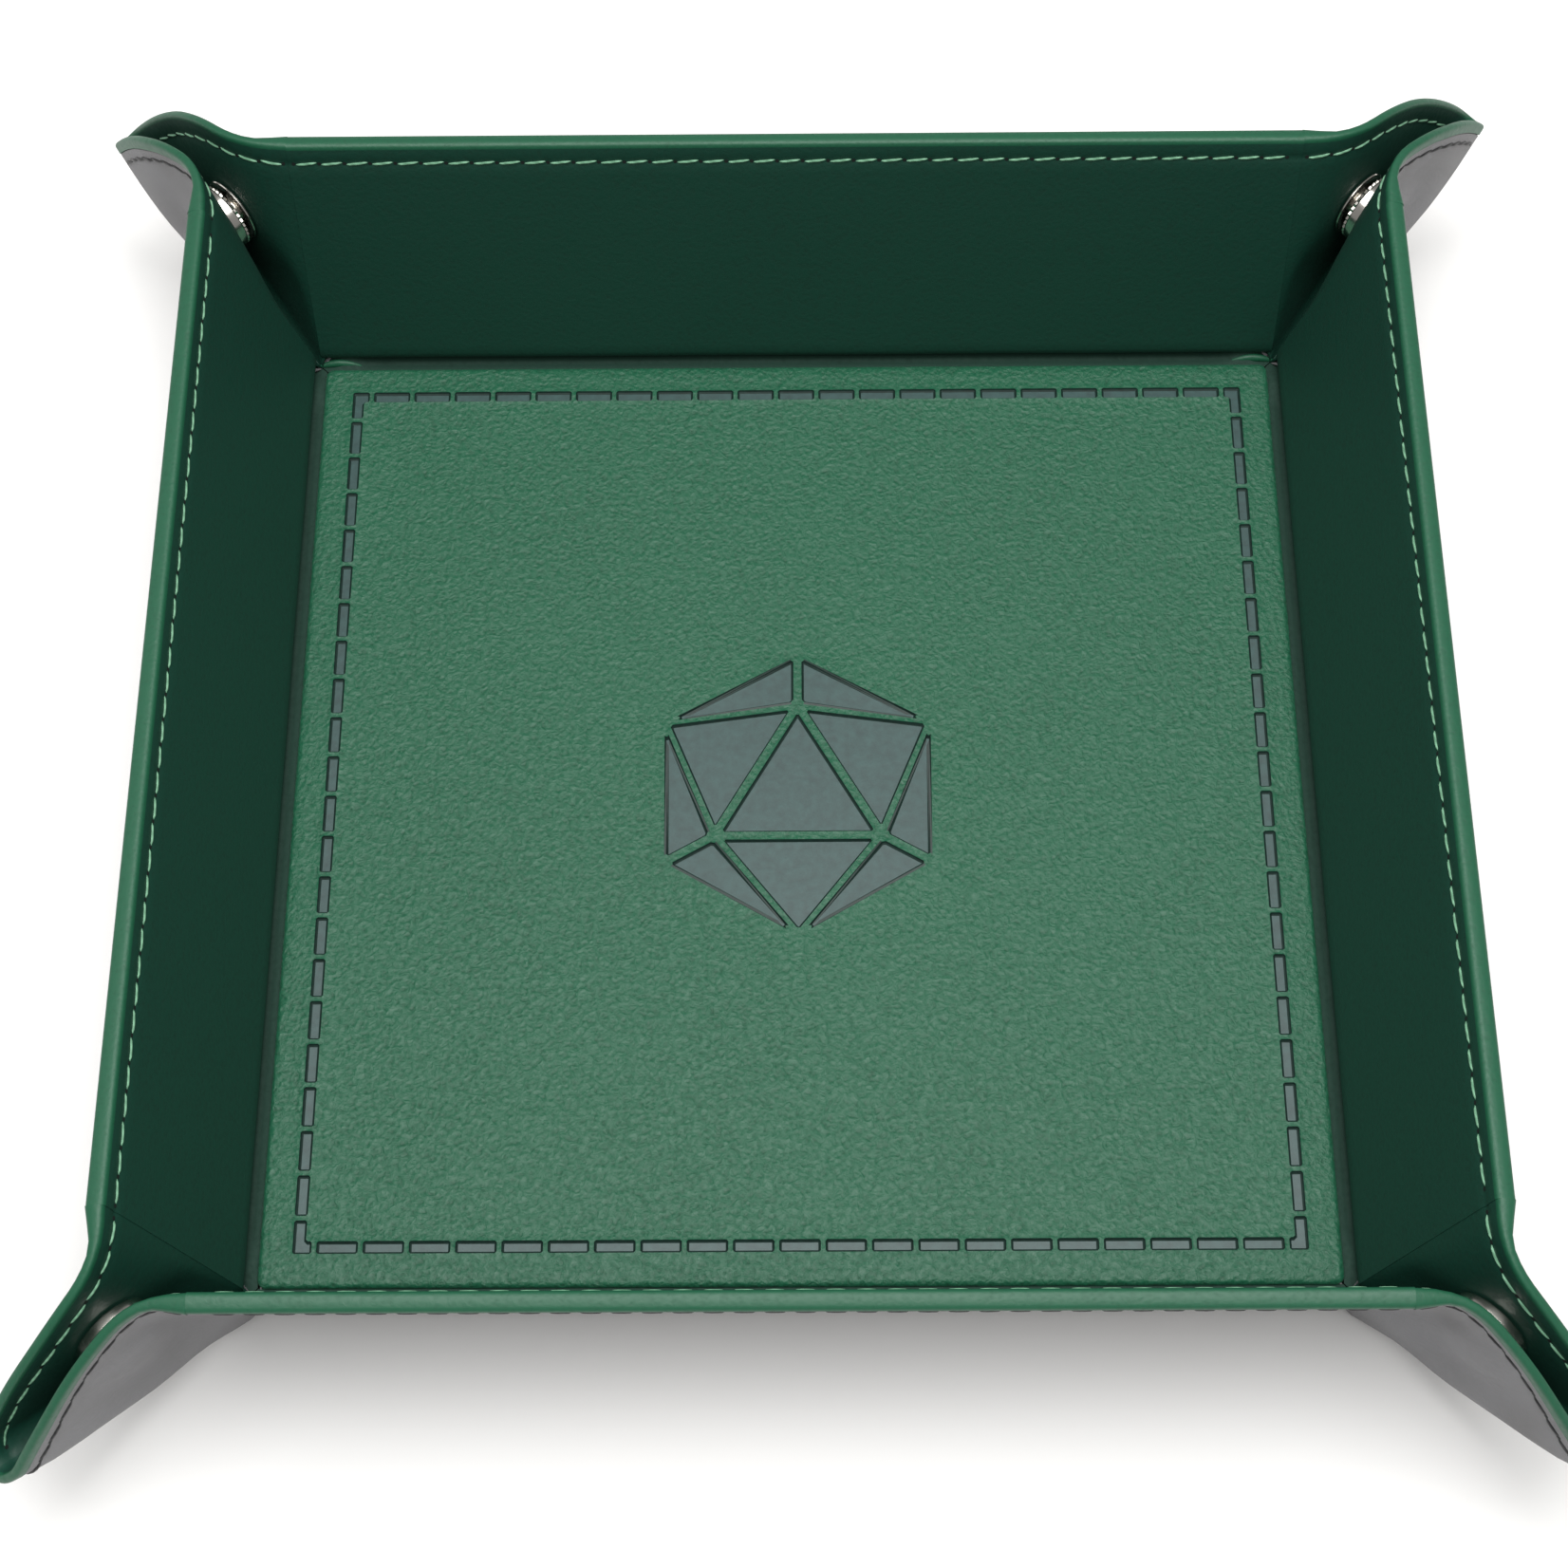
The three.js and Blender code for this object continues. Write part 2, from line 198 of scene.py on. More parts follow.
def add_range(tree: NodeTree, value: NodeSocket, settings: dict) -> NodeSocket:
    """Maps a value from one range to another."""
    return add_node(tree, "ShaderNodeMapRange", settings, {"Value": value}).outputs["Result"]


def tint(
    tree: NodeTree, shader: Node, value: NodeSocket, shade: str, colour: str
) -> None:
    """Colours a shader between a darker shade and a lighter colour."""
    settings = {"data_type": "RGBA", 6: hex_to_linear(shade), 7: hex_to_linear(colour)}
    mixed = add_node(tree, "ShaderNodeMix", settings, {0: value})
    tree.links.new(mixed.outputs[2], shader.inputs["Base Color"])


def roughen(
    tree: NodeTree, shader: Node, height: NodeSocket, strength: float, relief_mm: float
) -> None:
    """Gives a shader a fine relief."""
    settings = {"Strength": strength, "Distance": relief_mm * MM}
    bump = add_node(tree, "ShaderNodeBump", settings, {"Height": height})
    tree.links.new(bump.outputs["Normal"], shader.inputs["Normal"])


@dataclass(frozen=True)
class LeatherFinish:
    """Chrome-tanned cowhide, pigment dyed and lightly milled.

    The pigment coat gives an even green, and milling leaves fine pebbles with short creases that catch the light; the
    colour is tinted darker in their low parts as painted shade.
    """

    name: str
    colour: str
    shade: str
    pebble_mm: float
    crease_mm: float
    relief_mm: float
    roughness: float
    sheen: float
    warp_m: float = 0.0022
    gloss_swing: float = 0.08

    def build(self) -> Material:
        """Makes the leather's material."""
        material, tree, shader, where = new_material(self.name)
        bend = add_noise(tree, where, 6.0, {"Detail": 3.0})
        warp = add_node(
            tree,
            "ShaderNodeVectorMath",
            {"operation": "MULTIPLY_ADD", 1: (self.warp_m, self.warp_m, self.warp_m)},
            {0: bend.outputs["Color"], 2: where},
        )
        # The pebbles are milling grain: the hide's own hair-cell grain is finer and would not show.
        pebble = add_node(
            tree,
            "ShaderNodeTexVoronoi",
            {"feature": "SMOOTH_F1", "Scale": 1000.0 / self.pebble_mm, "Smoothness": 0.6},
            {"Vector": warp.outputs["Vector"]},
        )
        crease = add_noise(tree, where, self.crease_mm, {"Detail": 5.0, "Roughness": 0.6, "Distortion": 1.2})
        grain = add_sum(tree, pebble.outputs["Distance"], 0.55, crease.outputs["Fac"])
        roughen(tree, shader, grain, 1.0, self.relief_mm)
        cloud = add_noise(tree, where, 38.0, {"Detail": 4.0})
        # Low grain is tinted darker as painted shade in the pebbles' valleys and creases; the cloud adds random tone.
        depth = add_range(tree, grain, {"From Min": 0.35, "From Max": 0.95})
        tone = add_sum(tree, cloud.outputs["Fac"], 0.55, depth, True)
        half = add_node(tree, "ShaderNodeMath", {"operation": "MULTIPLY", 1: 0.62}, {0: tone})
        tint(tree, shader, half.outputs["Value"], self.shade, self.colour)
        swing = {"To Min": self.roughness + self.gloss_swing, "To Max": self.roughness - self.gloss_swing}
        tree.links.new(add_range(tree, grain, swing), shader.inputs["Roughness"])
        shader.inputs["IOR"].default_value = 1.5
        shader.inputs["Sheen Weight"].default_value = self.sheen
        shader.inputs["Sheen Roughness"].default_value = 0.4
        return material


@dataclass(frozen=True)
class BurnishedFinish:
    """Cowhide pressed with a hot brass die, which melts the pigment coat to a smooth grey-green glaze."""

    name: str = "burnished_leather"
    colour: str = "2c4b48"
    shade: str = "213a38"
    streak_mm: float = 1.6
    roughness: float = 0.42

    def build(self) -> Material:
        """Makes the stamped leather's material."""
        material, tree, shader, where = new_material(self.name)
        streak = add_noise(tree, where, self.streak_mm, {"Detail": 5.0, "Roughness": 0.65}).outputs["Fac"]
        spread = add_range(tree, streak, {"From Min": 0.3, "From Max": 0.7})
        tint(tree, shader, spread, self.shade, self.colour)
        roughen(tree, shader, streak, 0.5, 0.05)
        shader.inputs["Roughness"].default_value = self.roughness
        return material


@dataclass(frozen=True)
class SuedeFinish:
    """Split suede lining, sanded to a short nap that scatters light softly and shows brushed patches."""

    name: str = "split_suede"
    colour: str = "66666a"
    shade: str = "4a4849"
    nap_mm: float = 0.55
    patch_mm: float = 22.0

    def build(self) -> Material:
        """Makes the suede's material."""
        material, tree, shader, where = new_material(self.name)
        # Nap fibres are about 0.05 mm thick and are drawn as tufts of half a millimetre so that they show.
        nap = add_noise(tree, where, self.nap_mm, {"Detail": 6.0, "Roughness": 0.75}).outputs["Fac"]
        patch = add_noise(tree, where, self.patch_mm, {"Detail": 4.0, "Distortion": 0.8}).outputs["Fac"]
        tone = add_range(tree, add_sum(tree, nap, 0.6, patch), {"From Min": 0.5, "From Max": 1.1})
        tint(tree, shader, tone, self.shade, self.colour)
        roughen(tree, shader, nap, 0.8, 0.18)
        shader.inputs["Roughness"].default_value = 0.95
        shader.inputs["Sheen Weight"].default_value = 0.35
        shader.inputs["Sheen Roughness"].default_value = 0.6
        return material


@dataclass(frozen=True)
class NickelFinish:
    """Nickel-plated brass, barrel polished, which gives a bright mirror with faint tumbling marks."""

    name: str = "nickel_plate"
    colour: str = "d8d4cc"
    mark_mm: float = 2.2
    roughness: float = 0.16

    def build(self) -> Material:
        """Makes the plated metal's material."""
        material, tree, shader, where = new_material(self.name)
        mark = add_noise(tree, where, self.mark_mm, {"Detail": 6.0, "Roughness": 0.7}).outputs["Fac"]
        dull = add_range(tree, mark, {"To Min": self.roughness - 0.05, "To Max": self.roughness + 0.12})
        tree.links.new(dull, shader.inputs["Roughness"])
        shader.inputs["Base Color"].default_value = hex_to_linear(self.colour)
        shader.inputs["Metallic"].default_value = 1.0
        return material


@dataclass(frozen=True)
class ThreadFinish:
    """Bonded polyester sewing thread, twisted from three plies, which gives a soft sheen and fine slanted bands; the
    bands' darker tone is painted shade between the plies.
    """

    name: str
    colour: str
    shade: str
    ply_mm: float = 0.5

    def build(self) -> Material:
        """Makes the thread's material."""
        material, tree, shader, where = new_material(self.name)
        bands = {"wave_type": "BANDS", "bands_direction": "DIAGONAL", "Distortion": 1.0}
        bands["Scale"] = 1000.0 / self.ply_mm / 6.3
        ply = add_node(tree, "ShaderNodeTexWave", bands, {"Vector": where}).outputs["Fac"]
        # The ply bands tint the thread darker between the plies: painted shade.
        tint(tree, shader, ply, self.shade, self.colour)
        roughen(tree, shader, ply, 0.6, 0.08)
        shader.inputs["Roughness"].default_value = 0.5
        return material


@dataclass(frozen=True)
class BoardFinish:
    """Grey chipboard, pressed from waste paper, which gives a dull flecked grey."""

    name: str = "grey_chipboard"
    colour: str = "8d8577"
    shade: str = "6f685c"
    fleck_mm: float = 1.5

    def build(self) -> Material:
        """Makes the board's material."""
        material, tree, shader, where = new_material(self.name)
        fleck = add_noise(tree, where, self.fleck_mm, {"Detail": 5.0})
        tint(tree, shader, fleck.outputs["Fac"], self.shade, self.colour)
        shader.inputs["Roughness"].default_value = 0.9
        return material


@dataclass
class Palette:
    """Every finish on the tray, built once."""

    floor_leather: Material = field(
        default_factory=LeatherFinish("milled_cowhide_floor", "1b6245", "0b4029", 0.95, 1.3, 0.3, 0.52, 0.05).build
    )
    # The walls' hide is pulled smooth over its board, so its grain is finer; it is the floor's hide, and its deeper
    # green is painted shade.
    wall_leather: Material = field(
        default_factory=LeatherFinish("stretched_cowhide_wall", "114335", "0b3427", 1.0, 1.6, 0.06, 0.6, 0.0).build
    )
    # The turned edge carries a second coat of dye, which fills the grain; it reads lighter than the walls, whose deeper
    # green is painted shade.
    edge_leather: Material = field(
        default_factory=LeatherFinish("edge_dyed_cowhide", "185a3e", "104a32", 0.9, 1.4, 0.05, 0.55, 0.0).build
    )
    # The hide in the grooves is rougher, and its deep green is painted shade in the hinge grooves.
    groove_leather: Material = field(
        default_factory=LeatherFinish("groove_cowhide", "0d3629", "092a1f", 1.0, 1.6, 0.06, 0.85, 0.0).build
    )
    # The walls of each pressed dash are darkest, partly scorched by the die's edge and partly painted shade on their
    # slopes.
    pressed_leather: Material = field(
        default_factory=BurnishedFinish("scorched_leather", "17302a", "0d201b", 1.2, 0.5).build
    )
    burnished: Material = field(default_factory=BurnishedFinish().build)
    suede: Material = field(default_factory=SuedeFinish().build)
    nickel: Material = field(default_factory=NickelFinish().build)
    thread: Material = field(
        default_factory=ThreadFinish("green_polyester_thread", "84b896", "6f9f80").build
    )
    back_thread: Material = field(
        default_factory=ThreadFinish("black_polyester_thread", "2a2a2c", "141416").build
    )
    # The needle holes are near-black discs: painted shade inside the holes.
    hole: Material = field(
        default_factory=BurnishedFinish("needle_hole_leather", "0c1814", "060d0a", 0.8, 0.8).build
    )
    board: Material = field(default_factory=BoardFinish().build)


def finish_mesh(
    name: str,
    points: Sequence[Vector],
    faces: Sequence[Sequence[int]],
    materials: Sequence[Material],
    face_finish: Optional[Sequence[int]] = None,
    crease_degrees: float = 38.0,
) -> Object:
    """Makes a piece from points in millimetres.

    Args:
        name: The piece's name.
        points: Its vertices, in millimetres.
        faces: Its faces, as vertex numbers.
        materials: Its materials.
        face_finish: The material number of each face.
        crease_degrees: Edges sharper than this stay crisp.

    Returns:
        The new object.
    """
    mesh = bpy.data.meshes.new(name)
    mesh.from_pydata([tuple(point * MM) for point in points], [], [tuple(face) for face in faces])
    for material in materials:
        mesh.materials.append(material)
    if face_finish is not None:
        mesh.polygons.foreach_set("material_index", list(face_finish))
    shape = bmesh.new()
    shape.from_mesh(mesh)
    bmesh.ops.remove_doubles(shape, verts=shape.verts, dist=1e-7)
    bmesh.ops.recalc_face_normals(shape, faces=shape.faces)
    shape.to_mesh(mesh)
    shape.free()
    mesh.polygons.foreach_set("use_smooth", [True] * len(mesh.polygons))
    mesh.set_sharp_from_angle(angle=math.radians(crease_degrees))
    piece = bpy.data.objects.new(name, mesh)
    bpy.context.scene.collection.objects.link(piece)
    return piece


def bridge(first: Sequence[int], second: Sequence[int]) -> list[tuple[int, ...]]:
    """Gives the faces between two closed rings of vertex numbers."""
    count = len(first)
    pairs = [(index, (index + 1) % count) for index in range(count)]
    return [(first[index], first[after], second[after], second[index]) for index, after in pairs]


def ring_numbers(start: int, count: int, total: int) -> list[range]:
    """Numbers the vertices of a run of rings."""
    return [range(start + ring * count, start + (ring + 1) * count) for ring in range(total)]


def loft(
    name: str,
    sections: Sequence[Sequence[Vector]],
    materials: Sequence[Material],
    strip_finish: Sequence[int],
    crease_degrees: float = 38.0,
) -> Object:
    """Skins a run of closed sections and caps both ends.

    Args:
        name: The piece's name.
        sections: Closed loops with the same number of points, in millimetres.
        materials: The piece's materials.
        strip_finish: The material number of the strip that follows each point of a section.
        crease_degrees: Edges sharper than this stay crisp.

    Returns:
        The new object.
    """
    count = len(sections[0])
    points = [point for section in sections for point in section]
    faces = []
    finishes = []
    rings = ring_numbers(0, count, len(sections))
    for lower, upper in zip(rings, rings[1:]):
        faces += bridge(lower, upper)
        finishes += strip_finish[:count]
    faces += [tuple(rings[0]), tuple(rings[-1])]
    finishes += [strip_finish[0], strip_finish[0]]
    return finish_mesh(name, points, faces, materials, finishes, crease_degrees)


def rim_curve(thickness: float, depth: float, steps: int = 8) -> list[tuple[float, float]]:
    """Gives the rounded turn of a folded edge."""
    curve = []
    for index in range(steps + 1):
        angle = math.pi * index / steps
        cosine = math.cos(angle)
        through = 0.5 * thickness * (1.0 - math.copysign(abs(cosine) ** 0.7, cosine))
        back = -depth * (1.0 - math.sin(angle) ** 0.7)
        curve.append((back, through))
    return curve


def tube(path: Sequence[Vector], radius: float, sides: int, points: list, faces: list) -> None:
    """Adds a closed tube along a path to a growing mesh.

    Args:
        path: The tube's centre line.
        radius: Its radius at the middle.
        sides: The number of sides.
        points: The growing vertex list.
        faces: The growing face list.
    """
    first = len(points)
    total = len(path)
    for index, centre in enumerate(path):
        ahead = path[min(index + 1, total - 1)] - path[max(index - 1, 0)]
        ahead.normalize()
        side = ahead.cross(Vector((0.31, 0.17, 0.93))).normalized()
        up = side.cross(ahead)
        taper = 0.7 if index in (0, total - 1) else 1.0
        for step in range(sides):
            angle = 2.0 * math.pi * step / sides
            points.append(centre + radius * taper * (math.cos(angle) * side + math.sin(angle) * up))
    rings = ring_numbers(first, sides, total)
    for lower, upper in zip(rings, rings[1:]):
        faces += bridge(lower, upper)
    faces += [tuple(rings[0]), tuple(rings[-1])]


@dataclass
class Seam:
    """A run of lockstitches along a skin.

    Each stitch lies proud of the skin between two needle holes, and slants a little across the seam.
    """

    name: str
    line: Callable[[float], tuple[Vector, Vector, Vector]]
    length: float
    thread: Material
    hole: Material
    pitch: float = STITCH_PITCH
    stitch: float = 4.2
    radius: float = 0.23
    slant: float = 0.26
    lift: float = 0.34
    first: float = 0.5

    def build(self) -> Object:
        """Makes the seam's thread and needle holes as one piece."""
        points: list[Vector] = []
        faces: list[tuple[int, ...]] = []
        count = int((self.length - self.stitch) / self.pitch + 1.0 - self.first)
        for index in range(count):
            middle = (index + self.first) * self.pitch + 0.5 * self.stitch - 0.5 * self.pitch * self.first
            path = []
            for step in range(6):
                share = step / 5.0
                spot, out, across = self.line(middle + (share - 0.5) * self.stitch)
                rise = self.lift * (1.0 - (2.0 * share - 1.0) ** 4) - 0.22
                path.append(spot + out * rise + across * self.slant * (2.0 * share - 1.0))
            tube(path, self.radius, 6, points, faces)
        thread_faces = len(faces)
        # Each needle hole is a short near-black disc, painted shade inside the hole.
        for index in range(count + 1):
            middle = (index + self.first) * self.pitch + 0.5 * self.stitch - 0.5 * self.pitch * self.first
            spot, out, across = self.line(middle - 0.5 * self.pitch)
            along = out.cross(across)
            start = len(points)
            for level in (-0.15, 0.05):
                for step in range(HOLE_SIDES):
                    angle = 2.0 * math.pi * step / HOLE_SIDES
                    reach = 0.36 * math.cos(angle) * along + 0.4 * math.sin(angle) * across
                    points.append(spot + out * level + reach)
            bottom, top = ring_numbers(start, HOLE_SIDES, 2)
            faces += bridge(bottom, top) + [tuple(bottom), tuple(top)]
        finishes = [0] * thread_faces + [1] * (len(faces) - thread_faces)
        return finish_mesh(self.name, points, faces, [self.thread, self.hole], finishes, 60.0)


def sew(name: str, line: Callable[[float], tuple], length: float, palette: Palette, back: bool) -> Object:
    """Makes a seam in the needle's thread, or in the finer bobbin thread at the back."""
    if back:
        return Seam(name, line, length, palette.back_thread, palette.hole, radius=0.28, lift=0.28).build()
    return Seam(name, line, length, palette.thread, palette.hole).build()


@dataclass
class StampedBorder:
    """The dashed border and the die outline pressed into the base leather."""

    half: float = 85.0
    width: float = 2.18
    gap: float = 0.8
    dashes_along_x: int = 21
    dashes_along_y: int = 20
    corner_along_x: float = 3.2
    corner_along_y: float = 5.8
    die_radius: float = 28.0
    die_ratio: float = 0.618
    die_line: float = 0.75

    def dashes(self) -> list[list[Vector]]:
        """Gives each dash and corner mark as an outline.

        Returns:
            Closed outlines, anticlockwise, in millimetres.
        """
        outlines = []
        outer = self.half
        inner = self.half - self.width
        span_x = 2.0 * (outer - self.corner_along_x)
        length_x = (span_x - (self.dashes_along_x + 1) * self.gap) / self.dashes_along_x
        span_y = 2.0 * (outer - self.corner_along_y)
        length_y = (span_y - (self.dashes_along_y + 1) * self.gap) / self.dashes_along_y
        for index in range(self.dashes_along_x):
            left = -span_x / 2.0 + self.gap + index * (length_x + self.gap)
            for low, high in ((inner, outer), (-outer, -inner)):
                outlines.append(self.box(left, low, left + length_x, high))
        for index in range(self.dashes_along_y):
            low = -span_y / 2.0 + self.gap + index * (length_y + self.gap)
            for left, right in ((inner, outer), (-outer, -inner)):
                outlines.append(self.box(left, low, right, low + length_y))
        corner = [
            Vector((outer, outer)),
            Vector((outer - self.corner_along_x, outer)),
            Vector((outer - self.corner_along_x, inner)),
            Vector((inner, inner)),
            Vector((inner, outer - self.corner_along_y)),
            Vector((outer, outer - self.corner_along_y)),
        ]
        for across, up in ((1, 1), (-1, 1), (-1, -1), (1, -1)):
            turned = [Vector((point.x * across, point.y * up)) for point in corner]
            outlines.append(turned if across * up > 0 else turned[::-1])
        return outlines

    @staticmethod
    def box(left: float, low: float, right: float, high: float) -> list[Vector]:
        """Gives a box's corners, anticlockwise."""
        return [Vector((left, low)), Vector((right, low)), Vector((right, high)), Vector((left, high))]

    def die_facets(self) -> list[list[Vector]]:
        """Gives the visible facets of a twenty-sided die as outlines.

        Returns:
            Closed triangles, anticlockwise, in millimetres, each drawn in from its neighbours.
        """
        rim = [self.polar(self.die_radius, 90.0 - 60.0 * index) for index in range(6)]
        core = [self.polar(self.die_radius * self.die_ratio, 90.0 - 120.0 * index) for index in range(3)]
        facets = [[core[0], core[1], core[2]]]
        for index in range(3):
            following = core[(index + 1) % 3]
            facets.append([core[index], rim[2 * index + 1], following])
            facets.append([core[index], rim[2 * index], rim[2 * index + 1]])
            facets.append([following, rim[2 * index + 1], rim[(2 * index + 2) % 6]])
        drawn = []
        for facet in facets:
            turn = (facet[1] - facet[0]).x * (facet[2] - facet[0]).y - (facet[1] - facet[0]).y * (facet[2] - facet[0]).x
            drawn.append(offset_outline(facet if turn > 0 else facet[::-1], -self.die_line))
        return drawn

    @staticmethod
    def polar(radius: float, degrees: float) -> Vector:
        """Gives a point at a radius and angle."""
        return Vector((radius * math.cos(math.radians(degrees)), radius * math.sin(math.radians(degrees))))


def offset_outline(outline: Sequence[Vector], distance: float) -> list[Vector]:
    """Moves each edge of a closed anticlockwise outline outward."""
    moved = []
    count = len(outline)
    for index in range(count):
        before = (outline[index] - outline[index - 1]).normalized()
        after = (outline[(index + 1) % count] - outline[index]).normalized()
        normal_before = Vector((before.y, -before.x))
        normal_after = Vector((after.y, -after.x))
        middle = (normal_before + normal_after).normalized()
        moved.append(outline[index] + middle * (distance / max(0.3, middle.dot(normal_after))))
    return moved


def soften_corners(outline: Sequence[Vector], radius: float) -> list[Vector]:
    """Cuts each corner of an outline with a short chord."""
    softened = []
    count = len(outline)
    for index in range(count):
        corner = outline[index]
        for other in (outline[index - 1], outline[(index + 1) % count]):
            toward = other - corner
            softened.append(corner + toward.normalized() * min(radius, 0.3 * toward.length))
    return softened


def square_ring(half: float, radius: float, spacing: float) -> list[Vector]:
    """Gives a square with rounded corners as evenly spaced points."""
    steps = round(2.0 * BASE_HALF / spacing)
    ring = []
    for quarter in range(4):
        turn = Matrix.Rotation(quarter * math.pi / 2.0, 2)
        straight = half - radius
        for index in range(steps):
            ring.append(turn @ Vector((half, -straight + 2.0 * straight * index / steps)))
        for index in range(4):
            angle = math.pi / 2.0 * index / 4.0
            ring.append(turn @ Vector((straight + radius * math.cos(angle), straight + radius * math.sin(angle))))
    return ring


@dataclass
class BasePanel:
    """The tray's floor: stamped leather above, a chipboard, and suede below."""

    palette: Palette
    corner: float = 1.6
    spacing: float = 3.0
    grid: float = 3.2
    clear: float = 0.8
    depth: float = 0.5
    lip: float = 0.1
    lip_width: float = 0.35
    wall_run: float = 0.42
    underside: float = 2.15
    edge: tuple = ((1.1, 3.25), (0.7, 3.19), (0.35, 3.0), (0.1, 2.7), (0.0, 2.35))

    def surface(self, point: Vector) -> float:
        """Gives the leather's height at a place on the floor."""
        reach = max(abs(point.x), abs(point.y))
        fade = smoothstep((BASE_HALF - 1.5 - reach) / 8.0)
        bulge = 0.12 * smoothstep((reach - 80.0) / 6.0)
        return BASE_TOP + fade * (swell(Vector((point.x, point.y, 3.0)), 0.1, 31.0) + bulge)

    def build(self) -> list[Object]:
        """Makes the leather and the suede of the floor."""
        return [self.build_leather(), self.build_suede()]

    def build_leather(self) -> Object:
        """Makes the stamped leather.

        Returns:
            The leather, with its dashes and its die pressed in.
        """
        border = StampedBorder()
        outlines = [soften_corners(outline, 0.3) for outline in border.dashes()]
        outlines += [soften_corners(outline, 0.5) for outline in border.die_facets()]
        flat: list[Vector] = []
        height: list[float] = []
        pressed: list[int] = []
        edges: list[tuple[int, int]] = []

        def add_loop(loop: Sequence[Vector], drop: float, mark: int) -> None:
            """Adds a closed constraint loop at a height below the skin."""
            start = len(flat)
            for index, point in enumerate(loop):
                flat.append(point)
                height.append(self.surface(point) - drop)
                pressed.append(mark)
                edges.append((start + index, start + (index + 1) % len(loop)))

        top_ring = square_ring(BASE_HALF - self.edge[0][0], self.corner, self.spacing)
        add_loop(top_ring, 0.0, 0)
        for outline in outlines:
            add_loop(offset_outline(outline, self.lip_width), 0.0, 0)
            add_loop(outline, -self.lip, 0)
            add_loop(offset_outline(outline, -self.wall_run * 0.35), self.depth * 0.5, 1)
            add_loop(offset_outline(outline, -self.wall_run), self.depth, 2)
        reach = BASE_HALF - 3.0
        steps = int(2.0 * reach / self.grid)
        boxes = []
        for outline in outlines:
            across, up = [point.x for point in outline], [point.y for point in outline]
            boxes.append((min(across) - self.clear, min(up) - self.clear, max(across) + self.clear, max(up) + self.clear))
        for row in range(steps + 1):
            for column in range(steps + 1):
                spot = Vector((-reach + 2.0 * reach * column / steps, -reach + 2.0 * reach * row / steps))
                if any(low_x < spot.x < high_x and low_y < spot.y < high_y for low_x, low_y, high_x, high_y in boxes):
                    continue
                flat.append(spot)
                height.append(self.surface(spot))
                pressed.append(0)
        made, _, triangles, sources, _, _ = delaunay_2d_cdt(flat, edges, [], 0, 1e-6)
        points = []
        marks = []
        for spot, source in zip(made, sources):
            # Where two outlines cross at a sharp corner, the new point takes its nearest neighbour's level.
            index = source[0] if source else min(range(len(flat)), key=lambda number: (flat[number] - spot).length)
            points.append(Vector((spot.x, spot.y, height[index])))
            marks.append(pressed[index])
        finishes = []
        # Dash floors take the burnished finish, and dash walls the darkest one, part scorch and part painted shade.
        for triangle in triangles:
            kinds = [marks[index] for index in triangle]
            finishes.append(1 if min(kinds) == 2 else 2 if max(kinds) > 0 else 0)
        faces = [tuple(triangle) for triangle in triangles]
        ring_start = len(points)
        for inset, level in self.edge[1:]:
            points += [
                Vector((point.x, point.y, level))
                for point in square_ring(BASE_HALF - inset, self.corner, self.spacing)
            ]
        points += [
            Vector((point.x, point.y, self.underside))
            for point in square_ring(BASE_HALF - 0.3, self.corner, self.spacing)
        ]
        count = len(top_ring)
        top_numbers = [None] * count
        for number, source in enumerate(sources):
            for index in source:
                if index < count:
                    top_numbers[index] = number
        rings = [top_numbers] + ring_numbers(ring_start, count, len(self.edge))
        for upper, lower in zip(rings, rings[1:]):
            faces += bridge(upper, lower)
            finishes += [0] * count
        faces.append(tuple(rings[-1]))
        finishes.append(0)
        piece = finish_mesh(
            "base_leather",
            points,
            faces,
            [self.palette.floor_leather, self.palette.burnished, self.palette.pressed_leather],
            finishes,
            24.0,
        )
        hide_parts("base_face")
        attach(piece, "base")
        return piece

    def build_suede(self) -> Object:
        """Makes the suede under the floor."""
        levels = ((0.9, 0.8), (0.2, 0.8), (0.0, 0.6), (0.0, 0.2), (0.25, 0.0))
        sections = []
        for inset, level in levels:
            ring = square_ring(BASE_HALF - 0.1 - inset, self.corner, self.spacing)
            sections.append([Vector((point.x, point.y, level)) for point in ring])
        piece = loft("base_suede", sections, [self.palette.suede], [0] * len(sections[0]))
        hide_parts("base_back")
        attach(piece, "base")
        return piece


